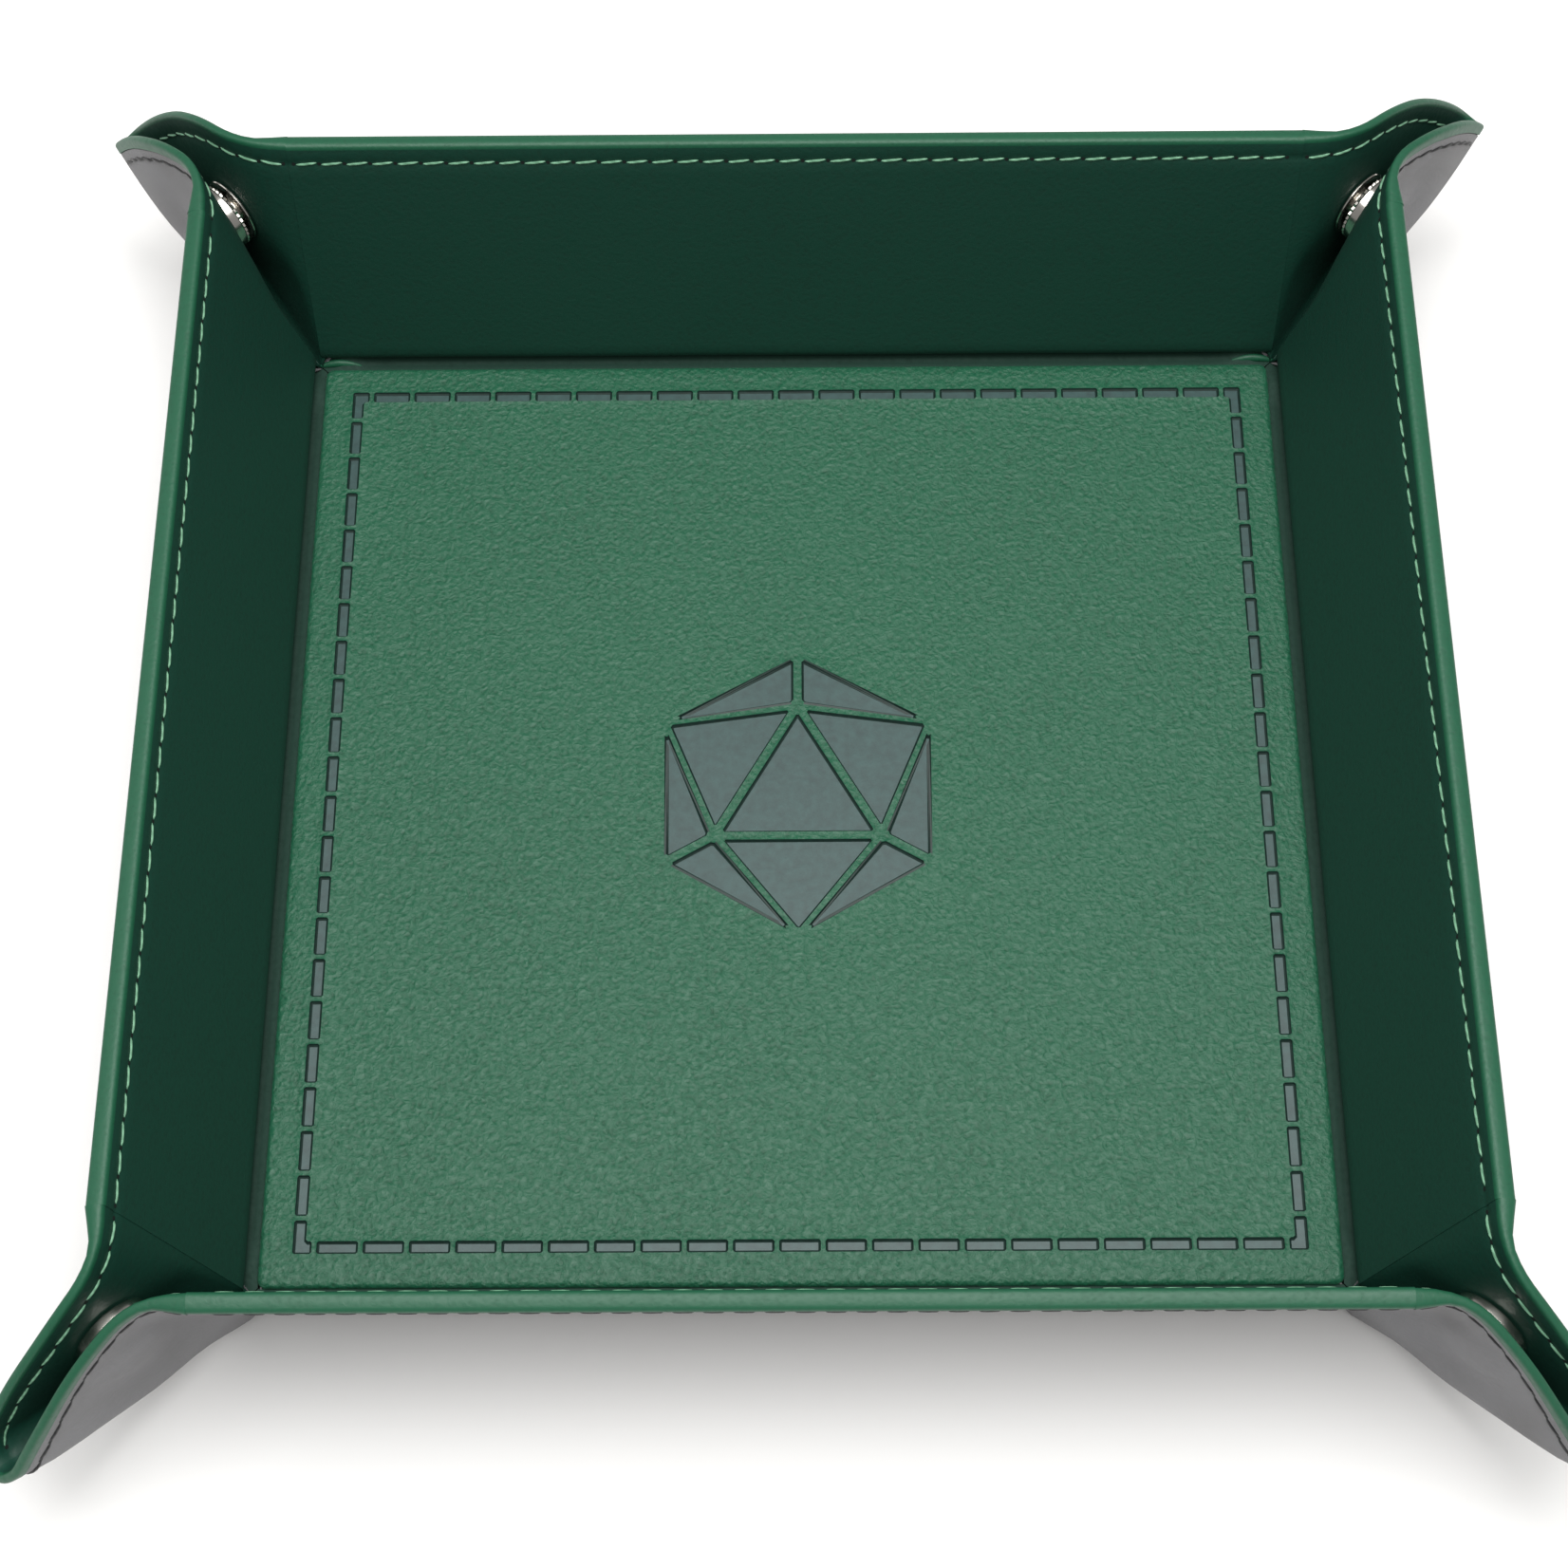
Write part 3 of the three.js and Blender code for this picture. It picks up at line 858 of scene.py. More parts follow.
@dataclass
class FoldStrip:
    """The leather and suede that bend between the base and one wall."""

    side: Side
    palette: Palette
    steps: int = 8
    columns: int = 84
    tuck_at: float = 86.5
    tuck_spread: float = 2.6
    tuck_rise: float = 1.3
    upper_face: float = 1.05
    lower_face: float = -0.8

    def profile(self, above: float) -> list[tuple[float, float]]:
        """Gives the strip's line through the fold, at one height above the hinge on the flat sheet."""
        line = []
        start = BASE_HALF - HINGE_HALF - 0.1
        for index in range(self.steps + 1):
            share = index / self.steps
            across = start + (WALL_FOOT + 0.3 - start) * share
            line.append(turn_about_hinge(across, above, WALL_LEAN * smoothstep(share * 1.1 - 0.05)))
        return line

    def build(self) -> Object:
        """Makes the strip.

        Returns:
            The strip, with leather above and suede below.
        """
        upper = self.profile(self.upper_face)
        lower = self.profile(self.lower_face)
        loop = upper + lower[::-1]
        finishes = [0] * (len(upper) - 1) + [0] + [1] * (len(lower) - 1) + [0]
        sections = []
        for column in range(self.columns + 1):
            share = 2.0 * column / self.columns - 1.0
            section = []
            for number, (outward, level) in enumerate(loop):
                reach = min(outward, WALL_HALF + 0.6) - 0.15
                along = share * reach
                middle = math.sin(math.pi * min(1.0, number / self.steps))
                near = math.exp(-(((abs(along) - self.tuck_at) / self.tuck_spread) ** 2))
                tuck = self.tuck_rise * near * max(0.0, middle)
                section.append(place(self.side, End.PLUS, Vector((along, outward - 0.4 * tuck, level + tuck))))
            sections.append(section)
        # The strip's leather is dark green: painted shade in the hinge groove.
        piece = loft(
            f"fold_strip_{self.side.label}",
            sections,
            [self.palette.groove_leather, self.palette.suede],
            finishes,
            50.0,
        )
        f"wall_{self.side.label}"
        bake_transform(piece)
        return piece


@dataclass
class CornerTuck:
    """The small pleat of leather that gathers in a corner of the base."""

    side: Side
    end: End
    palette: Palette
    start: float = 92.6
    length: float = 9.0
    thickness: float = 0.95
    outward: float = 91.9
    level: float = 1.9
    steps: int = 14
    around: int = 12

    def build(self) -> Object:
        """Makes the pleat, which swells and closes along the wall's foot."""
        sections = []
        for step in range(self.steps + 1):
            share = step / self.steps
            arch = math.sin(math.pi * share)
            radius = 0.05 + self.thickness * arch ** 0.7
            along = self.start - share * self.length
            section = []
            for number in range(self.around):
                angle = 2.0 * math.pi * number / self.around
                outward = self.outward + 0.5 * arch + 0.8 * radius * math.cos(angle)
                level = self.level + 0.4 * arch + radius * math.sin(angle)
                section.append(place(self.side, self.end, Vector((along, outward, level))))
            sections.append(section)
        name = f"tuck_{self.side.label}_{NEIGHBOUR[(self.side, self.end)].label}"
        piece = loft(name, sections, [self.palette.edge_leather], [0] * self.around, 60.0)
        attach(piece, "base")
        return piece


@dataclass
class WallPanel:
    """One stiffened wall: leather inside, turned over the rim, and suede outside."""

    side: Side
    palette: Palette
    columns: int = 62
    rim_depth: float = 1.1
    rim_lip: float = 2.0
    suede_drop: float = 0.12

    def rows(self) -> list[float]:
        """Gives the distances from the hinge at which the inner face has points."""
        seam = WALL_LENGTH - THREAD_INSET
        rows = [WALL_FOOT, 3.2, 4.2, 6.0]
        rows += [9.0 + 3.4 * index for index in range(12)]
        rows = [row for row in rows if row < seam - 1.5]
        return rows + [seam - 1.2, seam - 0.6, seam, seam + 0.6, seam + 1.2, seam + 2.1]

    def sunk(self, row: float) -> float:
        """Gives how far the skin is drawn in at a row by the seam and at the foot."""
        seam = WALL_LENGTH - THREAD_INSET
        groove = 0.22 * max(0.0, 1.0 - abs(row - seam) / 1.2)
        foot = 0.7 * max(0.0, 1.0 - (row - WALL_FOOT) / 1.6) ** 2
        return groove + foot

    def leather_loop(self) -> tuple[list[tuple[float, float]], list[int]]:
        """Gives the leather's section and its finishes.

        Returns:
            Pairs of distance from the hinge and depth through the wall, and a material number for each.
        """
        loop = [(row, self.sunk(row)) for row in self.rows()]
        finishes = [0] * len(loop)
        for back, through in rim_curve(STACK, self.rim_depth, 10):
            loop.append((WALL_LENGTH + back, through))
            finishes.append(1)
        loop += [
            (WALL_LENGTH - self.rim_lip, STACK),
            (WALL_LENGTH - self.rim_lip - 0.15, STACK - 0.35),
            (WALL_LENGTH - self.rim_lip - 0.15, LEATHER + 0.1),
            (WALL_FOOT, LEATHER + 0.1),
        ]
        finishes += [1, 1, 0, 0]
        return loop, finishes

    def at(self, along: float, row: float, through: float) -> Vector:
        """Places a point of the wall's section."""
        rise = swell(Vector((along, row, 11.0 * self.side.value)), 0.08, 27.0)
        fade = smoothstep((WALL_HALF - abs(along)) / 10.0) * smoothstep((WALL_LENGTH - 1.5 - row) / 6.0)
        outward, level = turn_about_hinge(row, STACK - HINGE_HEIGHT - through + rise * fade)
        return place(self.side, End.PLUS, Vector((along, outward, level)))

    def stations(self) -> list[float]:
        """Gives the places along the wall at which it has sections."""
        return [-WALL_HALF + 2.0 * WALL_HALF * index / self.columns for index in range(self.columns + 1)]

    def build(self) -> list[Object]:
        """Makes the wall's leather, suede and two seams."""
        return [self.build_leather(), self.build_suede(), self.build_seam(False), self.build_seam(True)]

    def build_leather(self) -> Object:
        """Makes the inner leather with its turned rim."""
        # The inner leather's deeper green is painted shade.
        loop, finishes = self.leather_loop()
        sections = [[self.at(along, row, through) for row, through in loop] for along in self.stations()]
        piece = loft(
            f"wall_{self.side.label}_leather",
            sections,
            [self.palette.wall_leather, self.palette.edge_leather],
            finishes,
            40.0,
        )
        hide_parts(f"wall_{self.side.label}_face")
        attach(piece, f"wall_{self.side.label}")
        return piece

    def build_suede(self) -> Object:
        """Makes the outer suede, which ends just below the rim."""
        top = WALL_LENGTH - self.rim_lip - 0.2
        face = STACK - self.suede_drop
        rows = [WALL_FOOT + (top - WALL_FOOT) * index / 14.0 for index in range(15)]
        loop = [(row, face) for row in rows] + [(row, STACK - SUEDE) for row in rows[::-1]]
        sections = [[self.at(along, row, through) for row, through in loop] for along in self.stations()]
        piece = loft(f"wall_{self.side.label}_suede", sections, [self.palette.suede], [0] * len(loop))
        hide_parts(f"wall_{self.side.label}_back")
        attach(piece, f"wall_{self.side.label}")
        return piece

    def seam_line(self, through: float, outward: float) -> Callable[[float], tuple[Vector, Vector, Vector]]:
        """Gives the seam's place, outward direction and cross direction at a distance along the wall."""
        row = WALL_LENGTH - THREAD_INSET

        def line(distance: float) -> tuple[Vector, Vector, Vector]:
            """Gives the seam's place and directions."""
            along = -WALL_HALF + distance
            spot = self.at(along, row, through)
            across = (self.at(along, row + 1.0, through) - spot).normalized()
            out = (self.at(along, row, through - outward) - spot).normalized()
            return spot, out, across

        return line

    def build_seam(self, back: bool) -> Object:
        """Makes the needle seam inside the wall, or the bobbin seam on the suede."""
        name = f"wall_{self.side.label}_back_seam" if back else f"wall_{self.side.label}_seam"
        line = self.seam_line(STACK - self.suede_drop, -1.0) if back else self.seam_line(0.2, 1.0)
        piece = sew(name, line, 2.0 * WALL_HALF, self.palette, back)
        if not back:
            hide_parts(f"wall_{self.side.label}_thread")
        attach(piece, f"wall_{self.side.label}")
        return piece


@dataclass(frozen=True)
class CornerShape:
    """The shape of one pinched corner, in its diagonal plane.

    D runs outward along the diagonal from the hinge corner, E is the distance from the diagonal plane, and z is up.
    """

    apex: tuple[float, float] = (-2.89, 1.5)
    tip: tuple[float, float] = (49.3, 25.8)
    rim_pull_a: tuple[float, float] = (22.0, 53.5)
    rim_pull_b: tuple[float, float] = (34.0, 48.0)
    taper: float = 0.6
    nose: float = 2.0
    plate_gap: float = 2.3
    spout_gap: float = 1.0
    snap_d: float = 18.0
    snap_z: float = 31.5
    snap_reach: float = 6.8
    base_round: float = 2.6
    bend_share: float = 2.45
    bend_start: float = 1.0
    blend_width: float = 0.5

    @staticmethod
    def wall_d(height: float) -> float:
        """Gives the wall end's place along the diagonal."""
        return -2.55 + 0.1895 * (height - 3.3)

    @staticmethod
    def wall_e(height: float) -> float:
        """Gives the wall end's distance from the diagonal plane."""
        return max(0.0, 0.28 + 0.1895 * (height - 3.3))

    def rim(self, share: float) -> tuple[float, float]:
        """Gives a point of the rim, from the wall end at 0 to the tip at 1."""
        start = (self.wall_d(53.26), 53.26)
        back = 1.0 - share
        weights = (back ** 3, 3.0 * back * back * share, 3.0 * back * share * share, share ** 3)
        knots = (start, self.rim_pull_a, self.rim_pull_b, self.tip)
        along = sum(weight * knot[0] for weight, knot in zip(weights, knots))
        height = sum(weight * knot[1] for weight, knot in zip(weights, knots))
        return along, height

    def spine(self, along: float) -> float:
        """Gives the spine's height at a place along the diagonal."""
        slope = (self.tip[1] - self.apex[1]) / (self.tip[0] - self.apex[0])
        return self.apex[1] + slope * (along - self.apex[0])

    def gap(self, along: float, height: float) -> float:
        """Gives the inner face's distance from the diagonal plane.

        Args:
            along: Place along the diagonal.
            height: Height above the ground.

        Returns:
            The half-gap, which closes at the spine and meets the wall's face at its end.
        """
        above = max(0.0, height - self.spine(along))
        reach = math.hypot(along - self.snap_d, height - self.snap_z)
        plateau = self.plate_gap + self.spout_gap * smoothstep((reach - self.snap_reach) / 12.0)
        late = max(0.0, (along - 32.0) / (self.tip[0] - 32.0))
        plateau *= 1.0 - self.taper * min(1.0, late) ** 1.4
        opening = 0.35 + 0.13 * (along + 2.5) + 0.12 * above
        plateau = 0.5 * (plateau + opening - math.hypot(plateau - opening, self.blend_width))
        plateau = max(0.02, plateau)
        round_over = self.base_round + self.nose * smoothstep((late - 0.4) / 0.6)
        share = min(1.0, above / round_over)
        plateau *= math.sqrt(share * (2.0 - share))
        start = self.wall_e(height)
        span = max(self.bend_share * abs(start - plateau), 2.5)
        way = min(1.0, max(0.0, (along - self.wall_d(height)) / span))
        ease = 2.0 * way ** 3 - 3.0 * way * way + 1.0
        ease -= self.bend_start * self.bend_share * (way ** 3 - 2.0 * way * way + way)
        return plateau + (start - plateau) * ease

    def inner(self, radial: float, turn: float) -> Vector:
        """Gives a point of the inner face as along, gap and height."""
        along, height = self.rim(1.0 - (1.0 - turn) ** 1.7)
        along = self.apex[0] + radial * (along - self.apex[0])
        height = self.apex[1] + radial * (height - self.apex[1])
        gap = 0.0 if turn >= 1.0 else self.gap(along, height)
        return Vector((along, gap, height))

    def outward(self, radial: float, turn: float) -> Vector:
        """Gives the direction away from the channel at a point of the inner face."""
        step = 0.004
        low_r, high_r = max(0.01, radial - step), min(1.0, radial + step)
        low_t, high_t = max(0.0, turn - step), min(1.0, turn + step)
        ahead = self.inner(high_r, turn) - self.inner(low_r, turn)
        around = self.inner(radial, high_t) - self.inner(radial, low_t)
        normal = ahead.cross(around)
        if normal.length < 1e-9:
            return Vector((0.0, 1.0, 0.0))
        normal.normalize()
        if normal.y < 0.0:
            normal = -normal
        if turn >= 1.0:
            slope = (self.tip[1] - self.apex[1]) / (self.tip[0] - self.apex[0])
            normal = Vector((slope, 0.0, -1.0)).normalized()
        return normal


# Each corner was pinched by hand, so no two spouts are quite alike.
CORNERS = {
    (Side.BACK, Side.LEFT): CornerShape(),
    (Side.BACK, Side.RIGHT): CornerShape(tip=(51.5, 26.8), rim_pull_a=(22.0, 53.0), rim_pull_b=(36.0, 47.5)),
    (Side.FRONT, Side.LEFT): CornerShape(
        tip=(45.4, 24.0), rim_pull_a=(19.5, 50.0), rim_pull_b=(33.0, 42.0), taper=0.1, nose=5.0
    ),
    (Side.FRONT, Side.RIGHT): CornerShape(
        tip=(46.8, 24.7), rim_pull_a=(19.5, 50.0), rim_pull_b=(33.5, 42.5), taper=0.15, nose=5.0
    ),
}


def corner_between(side: Side, other: Side) -> CornerShape:
    """Finds the shape of the corner where two walls meet."""
    return CORNERS.get((side, other)) or CORNERS[(other, side)]


def from_diagonal(point: Vector) -> Vector:
    """Turns diagonal coordinates into the back wall's own."""
    return Vector(
        (
            HINGE_HALF + (point.x - point.y) / ROOT_TWO,
            HINGE_HALF + (point.x + point.y) / ROOT_TWO,
            point.z,
        )
    )


@dataclass
class Ear:
    """The soft skin from one wall's end round half of a pinched corner."""

    side: Side
    end: End
    palette: Palette
    columns: int = 34
    thin: float = 1.65
    ease: float = 8.0
    hide: float = 0.95
    foot_bulge: float = 0.35
    seam_stop: float = 0.6

    @property
    def shape(self) -> CornerShape:
        """The shape of the corner that this ear is half of."""
        return corner_between(self.side, NEIGHBOUR[(self.side, self.end)])

    @property
    def label(self) -> str:
        """The ear's name in the model."""
        return f"{self.side.label}_{NEIGHBOUR[(self.side, self.end)].label}"

    def thickness(self, spot: Vector) -> float:
        """Gives the skin's whole thickness, which eases down past the board's end."""
        beyond = from_diagonal(spot).x - WALL_HALF
        return self.thin + (STACK - self.thin) * (1.0 - smoothstep(beyond / self.ease))

    def at(self, radial: float, turn: float, through: float) -> Vector:
        """Places a point of the skin."""
        spot = self.shape.inner(radial, turn)
        near = smoothstep(radial / 0.06)
        moved = spot + self.shape.outward(radial, turn) * through * near
        if turn >= 1.0:
            moved.y = 0.0
        else:
            moved.y = max(moved.y, 0.02)
        return place(self.side, self.end, from_diagonal(moved))

    def radial_rows(self) -> list[float]:
        """Gives the rows of the skin as shares of the way to the rim."""
        wall = WallPanel(self.side, self.palette)
        return [0.012, 0.03] + [row / WALL_LENGTH for row in wall.rows()]

    def section(self, turn: float) -> tuple[list[Vector], list[int]]:
        """Gives the leather's closed section at one turn and its finishes.

        Args:
            turn: 0 at the wall's end and 1 at the spine.

        Returns:
            The section's points and a material number for each.
        """
        wall = WallPanel(self.side, self.palette)
        length = self.reach(turn)
        points = []
        finishes = []
        for radial in self.radial_rows():
            row = radial * WALL_LENGTH
            sunk = wall.sunk(row) * (1.0 if row > 10.0 else 1.0 - smoothstep(turn * 3.0))
            points.append(self.at(radial, turn, sunk if row >= WALL_FOOT else 0.0))
            finishes.append(0)
        rim_spot = self.shape.inner(1.0, turn)
        total = self.thickness(rim_spot)
        depth = min(wall.rim_depth, 0.6 * total)
        for back, through in rim_curve(total, depth, 10):
            points.append(self.at(1.0 + back / length, turn, through))
            finishes.append(1)
        edge = 1.0 - wall.rim_lip / length
        points.append(self.at(edge, turn, total))
        points.append(self.at(edge - 0.15 / length, turn, total - min(0.35, total * 0.2)))
        points.append(self.at(edge - 0.15 / length, turn, self.hide))
        finishes += [1, 1, 0]
        for radial in self.radial_rows()[::-3]:
            if radial < edge - 0.05:
                points.append(self.at(radial, turn, self.hide))
                finishes.append(0)
        return points, finishes

    def reach(self, turn: float) -> float:
        """Gives the distance from the hinge corner to the rim at one turn."""
        along, height = self.shape.rim(1.0 - (1.0 - turn) ** 1.7)
        return math.hypot(along - self.shape.apex[0], height - self.shape.apex[1])

    def turns(self) -> list[float]:
        """Gives the turns at which the skin has sections, closer near the spine."""
        return [1.0 - (1.0 - index / self.columns) ** 1.15 for index in range(self.columns + 1)]

    def hang(self, piece: Object) -> None:
        """Bakes a piece of the skin's placement into its mesh."""
        f"wall_{self.side.label}"
        f"ear_{self.label}"
        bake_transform(piece)

    def build(self) -> list[Object]:
        """Makes the ear's leather, suede and seams."""
        return [self.build_leather(), self.build_suede(), self.build_seam(False), self.build_seam(True)]

    def build_leather(self) -> Object:
        """Makes the ear's leather with its turned rim."""
        # The ear's inner leather shares the wall's deeper green, which is painted shade.
        sections = []
        finishes: list[int] = []
        for turn in self.turns():
            points, finishes = self.section(turn)
            sections.append(points)
        piece = loft(
            f"ear_{self.label}_leather",
            sections,
            [self.palette.wall_leather, self.palette.edge_leather],
            finishes,
            40.0,
        )
        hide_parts(f"ear_{self.label}_face")
        self.hang(piece)
        return piece

    def build_suede(self) -> Object:
        """Makes the ear's suede, which ends just below the rim."""
        rows = [0.012, 0.03, 0.055] + [0.08 + 0.92 * index / 16.0 for index in range(17)]
        sections = []
        for turn in self.turns():
            edge = 1.0 - 2.2 / self.reach(turn)
            outer = []
            inner = []
            for row in rows:
                radial = row * edge
                total = self.thickness(self.shape.inner(radial, turn))
                outer.append(self.at(radial, turn, total - 0.1 + self.raised(radial, turn)))
                inner.append(self.at(radial, turn, max(total - SUEDE, self.hide + 0.02)))
            sections.append(outer + inner[::-1])
        piece = loft(f"ear_{self.label}_suede", sections, [self.palette.suede], [0] * len(sections[0]))
        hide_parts(f"ear_{self.label}_back")
        self.hang(piece)
        return piece

    def raised(self, radial: float, turn: float) -> float:
        """Gives how far the suede stands out over the snap's hidden foot."""
        spot = self.shape.inner(radial, turn)
        reach = math.hypot(spot.x - self.shape.snap_d, spot.z - self.shape.snap_z)
        return self.foot_bulge * smoothstep((6.4 - reach) / 1.8)

    def seam_table(self) -> list[tuple[float, float]]:
        """Gives turns and the distances along the seam at which they fall."""
        table = []
        travelled = 0.0
        before = None
        for index in range(161):
            turn = index / 160.0
            spot = self.shape.inner(1.0 - THREAD_INSET / self.reach(turn), turn)
            if before is not None:
                travelled += (spot - before).length
            before = spot
            table.append((travelled, turn))
        return table

    def seam_line(self, table: Sequence[tuple[float, float]], back: bool) -> Callable[[float], tuple]:
        """Gives the seam's place and directions at a distance from the wall's end.

        Args:
            table: Distances along the seam and their turns.
            back: True for the suede side.

        Returns:
            A function of the distance.
        """

        def line(distance: float) -> tuple[Vector, Vector, Vector]:
            """Gives the seam's place, outward direction and cross direction."""
            turn = table[-1][1]
            for (low, low_turn), (high, high_turn) in zip(table, table[1:]):
                if low <= distance <= high:
                    turn = low_turn + (high_turn - low_turn) * (distance - low) / max(1e-6, high - low)
                    break
            radial = 1.0 - THREAD_INSET / self.reach(turn)
            total = self.thickness(self.shape.inner(radial, turn))
            through = total - 0.1 if back else 0.2
            spot = self.at(radial, turn, through)
            out = (self.at(radial, turn, through + (0.5 if back else -0.5)) - spot).normalized()
            across = (self.at(min(1.0, radial + 0.01), turn, through) - spot).normalized()
            return spot, out, across

        return line

    def build_seam(self, back: bool) -> Object:
        """Makes the needle seam inside the ear, or the bobbin seam outside it."""
        table = self.seam_table()
        name = f"ear_{self.label}_back_seam" if back else f"ear_{self.label}_seam"
        piece = sew(name, self.seam_line(table, back), table[-1][0] - self.seam_stop, self.palette, back)
        self.hang(piece)
        return piece


# Each point is a radius, whether it is measured from the outer end, and its distance from that end.
POST_PROFILE = (
    (0.01, True, 0.0), (5.3, True, 0.0), (5.5, True, -0.1), (5.5, True, -0.35), (5.3, True, -0.45),
    (1.7, True, -0.45), (1.65, False, 0.1), (1.5, False, 0.0), (0.01, False, 0.0),
)
# A bright drum whose open edge is knurled.
SOCKET_PROFILE = (
    (2.0, True, 0.0), (6.15, True, 0.0), (6.42, True, -0.15), (6.5, True, -0.4), (6.5, False, 0.8),
    (6.38, False, 0.62), (6.38, False, 0.55), (6.38, False, 0.15), (6.2, False, 0.0), (5.2, False, 0.0),
    (4.6, False, 0.3), (3.8, False, 0.3), (3.45, False, 0.5), (3.45, True, -0.5), (2.0, True, -0.5),
    (2.0, True, 0.0),
)
SOCKET_TEETH = (6, 7, 8)
# A thin rolled disc with a waisted knob.
STUD_PROFILE = (
    (2.0, True, 0.0), (6.1, True, 0.0), (6.27, True, -0.12), (6.3, True, -0.3), (6.22, True, -0.5),
    (6.0, True, -0.6), (5.6, True, -0.55), (5.2, True, -0.38), (4.0, True, -0.38), (3.4, True, -0.6),
    (2.95, True, -0.8), (2.8, True, -1.15), (3.05, True, -1.5), (3.05, False, 0.35), (2.85, False, 0.1),
    (2.6, False, 0.0), (2.0, False, 0.0), (2.0, True, 0.0),
)


@dataclass
class SnapFastener:
    """One side of a corner's snap: a hidden post, and a knurled socket or a stud on the leather."""

    side: Side
    end: End
    palette: Palette
    segments: int = 72
    tooth: float = 0.3

    @property
    def label(self) -> str:
        """The snap's name in the model."""
        return f"{self.side.label}_{NEIGHBOUR[(self.side, self.end)].label}"

    def axis(self, frame: dict, node: str) -> tuple[Vector, Vector, float, float]:
        """Finds a snap node's axis."""
        direction = place(self.side, self.end, Vector((-1.0, 1.0, 0.0))).normalized()
        corners = [vertex.co * 1000.0 for vertex in frame["nodes"][node].data.vertices]
        low = min(corner.dot(direction) for corner in corners)
        high = max(corner.dot(direction) for corner in corners)
        least = Vector(tuple(min(corner[axis] for corner in corners) for axis in range(3)))
        most = Vector(tuple(max(corner[axis] for corner in corners) for axis in range(3)))
        middle = (least + most) / 2.0
        foot = middle - direction * middle.dot(direction)
        return foot, direction, low, high

    def turned(
        self,
        name: str,
        foot: Vector,
        direction: Vector,
        profile: Sequence[tuple[float, float]],
        teeth: Sequence[int] = (),
    ) -> Object:
        """Turns a profile about the snap's axis.

        Args:
            name: The piece's name.
            foot: A point on the axis.
            direction: The axis's direction.
            profile: Pairs of radius and place along the axis. A radius of 0 closes the shape.
            teeth: The profile points that carry the knurl.

        Returns:
            The turned piece.
        """
        side = direction.cross(Vector((0.0, 0.0, 1.0))).normalized()
        up = side.cross(direction)
        count = self.segments
        rings = []
        for number, (radius, along) in enumerate(profile):
            ring = []
            for index in range(count):
                angle = 2.0 * math.pi * index / count
                reach = radius - (self.tooth if number in teeth and index % 2 else 0.0)
                ring.append(foot + direction * along + reach * (math.cos(angle) * side + math.sin(angle) * up))
            rings.append(ring)
        closed = profile[0] == profile[-1]
        if not closed:
            return loft(name, rings, [self.palette.nickel], [0] * count, 30.0)
        points = [point for ring in rings[:-1] for point in ring]
        faces = []
        numbers = ring_numbers(0, count, len(rings) - 1)
        for here, there in zip(numbers, numbers[1:] + numbers[:1]):
            faces += bridge(here, there)
        return finish_mesh(name, points, faces, [self.palette.nickel], None, 30.0)

    def build(self, frame: dict) -> list[Object]:
        """Makes the post, and the stud or the socket that it holds."""
        pieces = [self.build_part(frame, "post", POST_PROFILE)]
        if f"snap_stud_{self.label}" in frame["nodes"]:
            pieces.append(self.build_part(frame, "stud", STUD_PROFILE))
        else:
            pieces.append(self.build_part(frame, "socket", SOCKET_PROFILE, SOCKET_TEETH))
        return pieces

    def build_part(
        self, frame: dict, kind: str, profile: Sequence[tuple[float, bool, float]], teeth: Sequence[int] = ()
    ) -> Object:
        """Makes one turned part in its node's place."""
        node = f"snap_{kind}_{self.label}"
        foot, direction, low, high = self.axis(frame, node)
        placed = [(radius, (high if outer else low) + distance) for radius, outer, distance in profile]
        piece = self.turned(f"{kind}_{self.label}", foot, direction, placed, teeth)
        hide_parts(node)
        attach(piece, f"ear_{self.label}")
        return piece


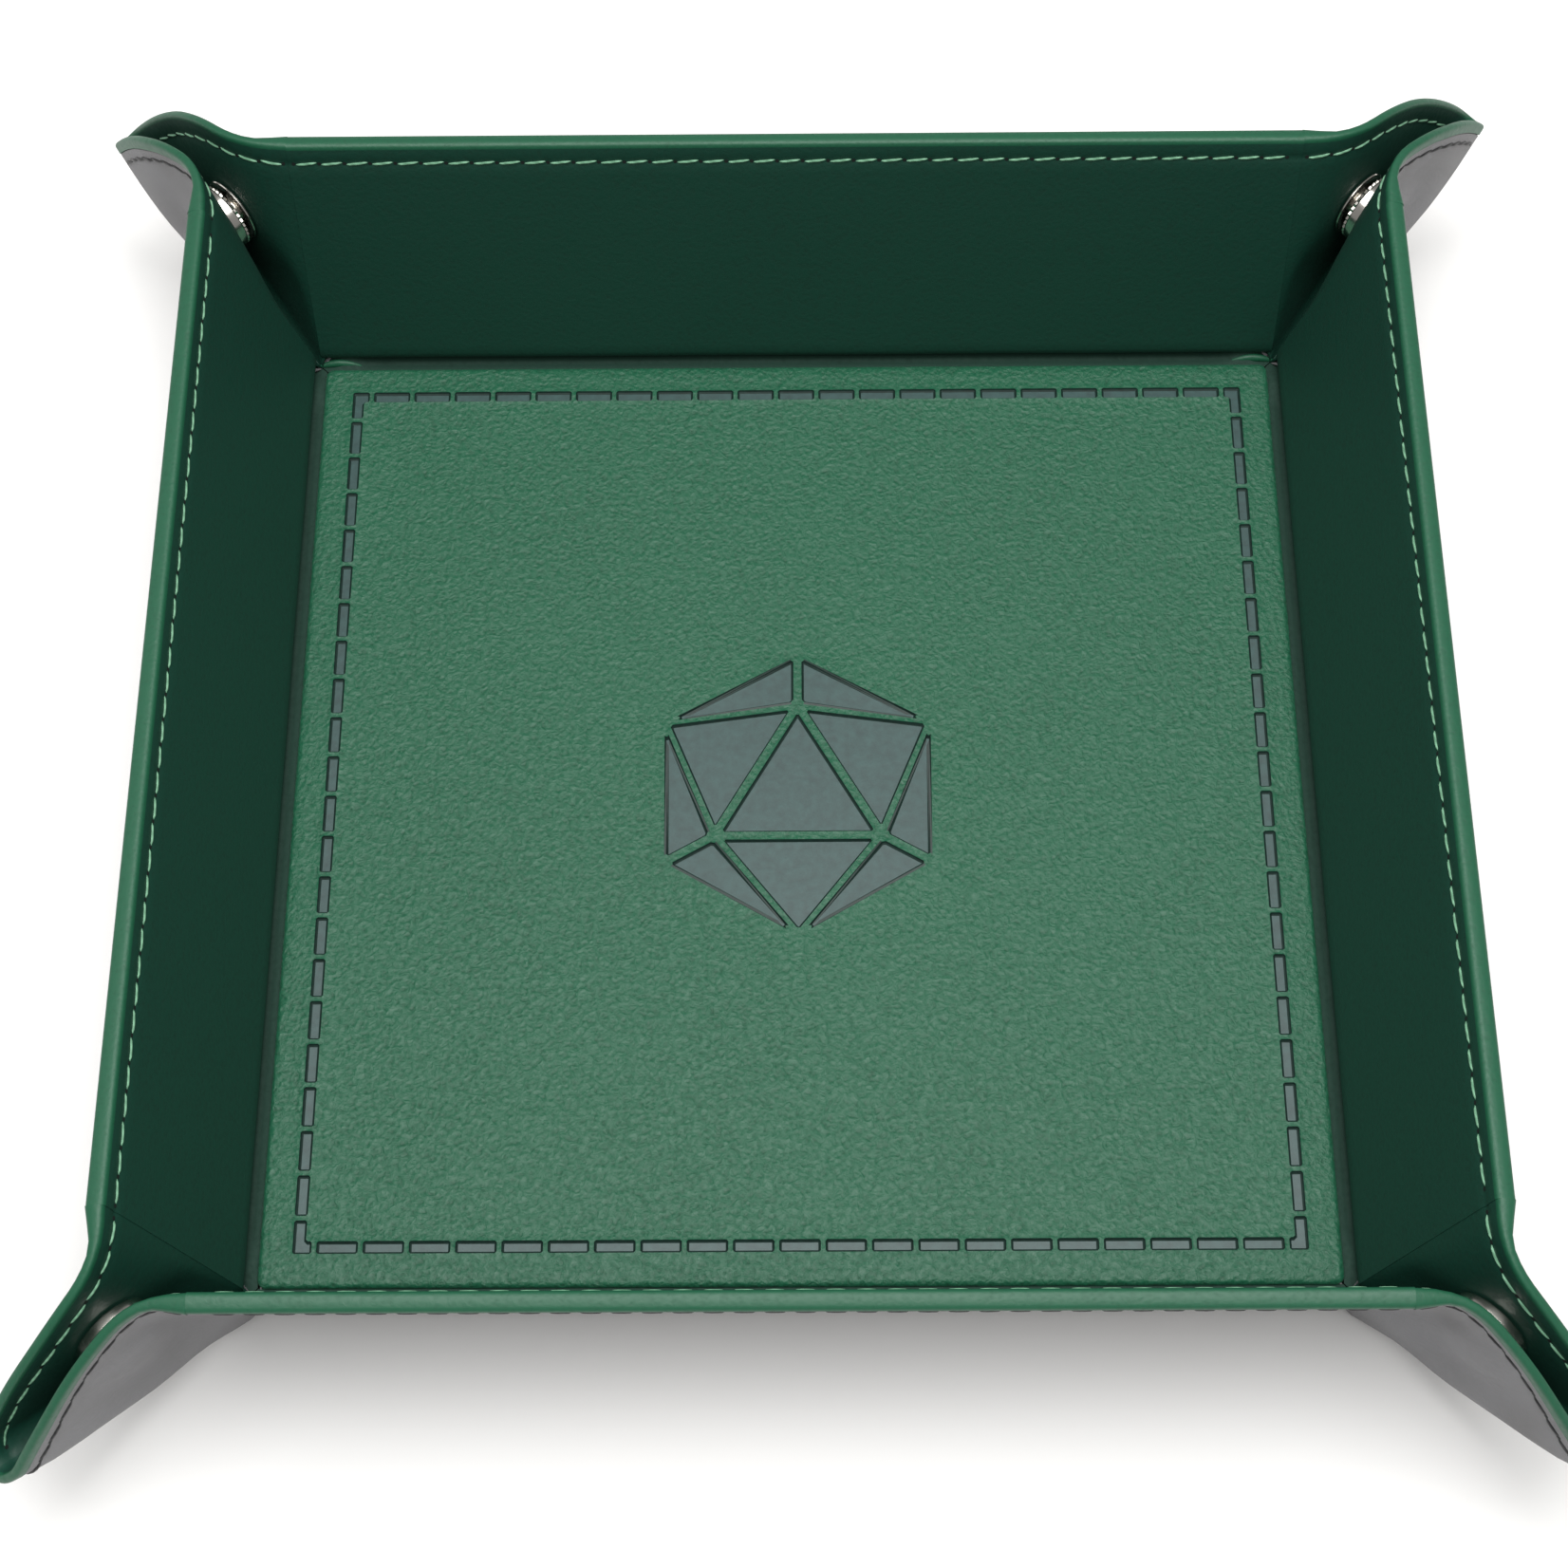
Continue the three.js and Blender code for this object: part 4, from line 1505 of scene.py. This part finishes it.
@dataclass
class Studio:
    """A pale floor, soft lights and the camera."""

    camera_at: tuple[float, float, float] = (0.75, -222.4, 478.55)
    look_at: tuple[float, float, float] = (-2.5, 1.5, 3.25)
    roll_degrees: float = -1.06
    lens: float = 67.1
    floor_half: float = 3.0

    def build(self) -> None:
        """Makes the floor, the lights, the sky and the camera."""
        self.build_floor()
        self.build_light("overhead_softbox", (0.05, -0.05, 1.25), 1.1, 22.5)
        self.build_light("left_fill", (-1.3, 0.5, 0.9), 0.9, 2.0)
        self.build_sky()
        self.build_camera()

    def build_floor(self) -> None:
        """Makes the pale matt floor."""
        material, tree, shader, where = new_material("matt_paper_sweep")
        tooth = add_node(tree, "ShaderNodeTexNoise", {"Scale": 300.0, "Detail": 3.0}, {"Vector": where})
        roughen(tree, shader, tooth.outputs["Fac"], 0.05, 0.1)
        shader.inputs["Base Color"].default_value = hex_to_linear("f6f5f3")
        shader.inputs["Roughness"].default_value = 0.95
        half = self.floor_half
        mesh = bpy.data.meshes.new("sweep")
        corners = [(-half, -half, 0.0), (half, -half, 0.0), (half, half, 0.0), (-half, half, 0.0)]
        mesh.from_pydata(corners, [], [(0, 1, 2, 3)])
        mesh.materials.append(material)
        sweep = bpy.data.objects.new("sweep", mesh)
        sweep.location.z = -0.00005
        bpy.context.scene.collection.objects.link(sweep)

    @staticmethod
    def build_light(name: str, at: tuple[float, float, float], size: float, power: float) -> None:
        """Makes one soft light aimed at the tray."""
        lamp = bpy.data.lights.new(name, "AREA")
        lamp.shape = "SQUARE"
        lamp.size = size
        lamp.energy = power
        holder = bpy.data.objects.new(name, lamp)
        holder.location = at
        holder.rotation_euler = (-Vector(at)).to_track_quat("-Z", "Y").to_euler()
        bpy.context.scene.collection.objects.link(holder)

    @staticmethod
    def build_sky() -> None:
        """Makes the even pale surroundings and sets how brightness is shown."""
        world = bpy.data.worlds.new("studio_surroundings")
        world.use_nodes = True
        backdrop = world.node_tree.nodes["Background"]
        backdrop.inputs["Color"].default_value = hex_to_linear("ffffff")
        backdrop.inputs["Strength"].default_value = 0.28
        bpy.context.scene.world = world
        bpy.context.scene.view_settings.view_transform = "Standard"
        bpy.context.scene.view_settings.look = "None"

    def build_camera(self) -> None:
        """Makes the camera and aims it."""
        lens = bpy.data.cameras.new("camera")
        lens.lens = self.lens
        lens.sensor_width = 36.0
        lens.clip_start = 0.01
        holder = bpy.data.objects.new("camera", lens)
        at = Vector(self.camera_at)
        ahead = (Vector(self.look_at) - at).normalized()
        level = ahead.cross(Vector((0.0, 0.0, 1.0))).normalized()
        up = level.cross(ahead)
        roll = math.radians(self.roll_degrees)
        right = math.cos(roll) * level + math.sin(roll) * up
        top = right.cross(ahead)
        turn = Matrix((right, top, -ahead)).transposed().to_4x4()
        holder.matrix_world = Matrix.Translation(at * MM) @ turn
        bpy.context.scene.collection.objects.link(holder)
        bpy.context.scene.camera = holder


def dress_boards(frame: dict, palette: Palette) -> None:
    """Gives the chipboards inside the panels their material."""
    for name, node in frame["nodes"].items():
        if name.endswith("_board"):
            if not node.material_slots:
                node.data.materials.append(palette.board)
            node.material_slots[0].material = palette.board


def report_pieces(title: str, pieces: Iterable[Object]) -> None:
    """Logs each new piece with its number of faces."""
    for piece in pieces:
        LOG.info("%s: %s, %d faces", title, piece.name, len(piece.data.polygons))


def main() -> None:
    """Builds the tray in order."""
    logging.basicConfig(level=logging.INFO, format="%(name)s: %(message)s")
    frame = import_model()
    Studio().build()
    palette = Palette()
    dress_boards(frame, palette)
    report_pieces("base", BasePanel(palette).build())
    for side in Side:
        report_pieces(f"fold {side.label}", [FoldStrip(side, palette).build()])
        report_pieces(f"wall {side.label}", WallPanel(side, palette).build())
        for end in End:
            ear = Ear(side, end, palette)
            report_pieces(f"ear {ear.label}", ear.build())
            report_pieces(f"snap {ear.label}", SnapFastener(side, end, palette).build(frame))
            if side in (Side.BACK, Side.FRONT):
                report_pieces(f"tuck {ear.label}", [CornerTuck(side, end, palette).build()])


if __name__ == "__main__":
    main()
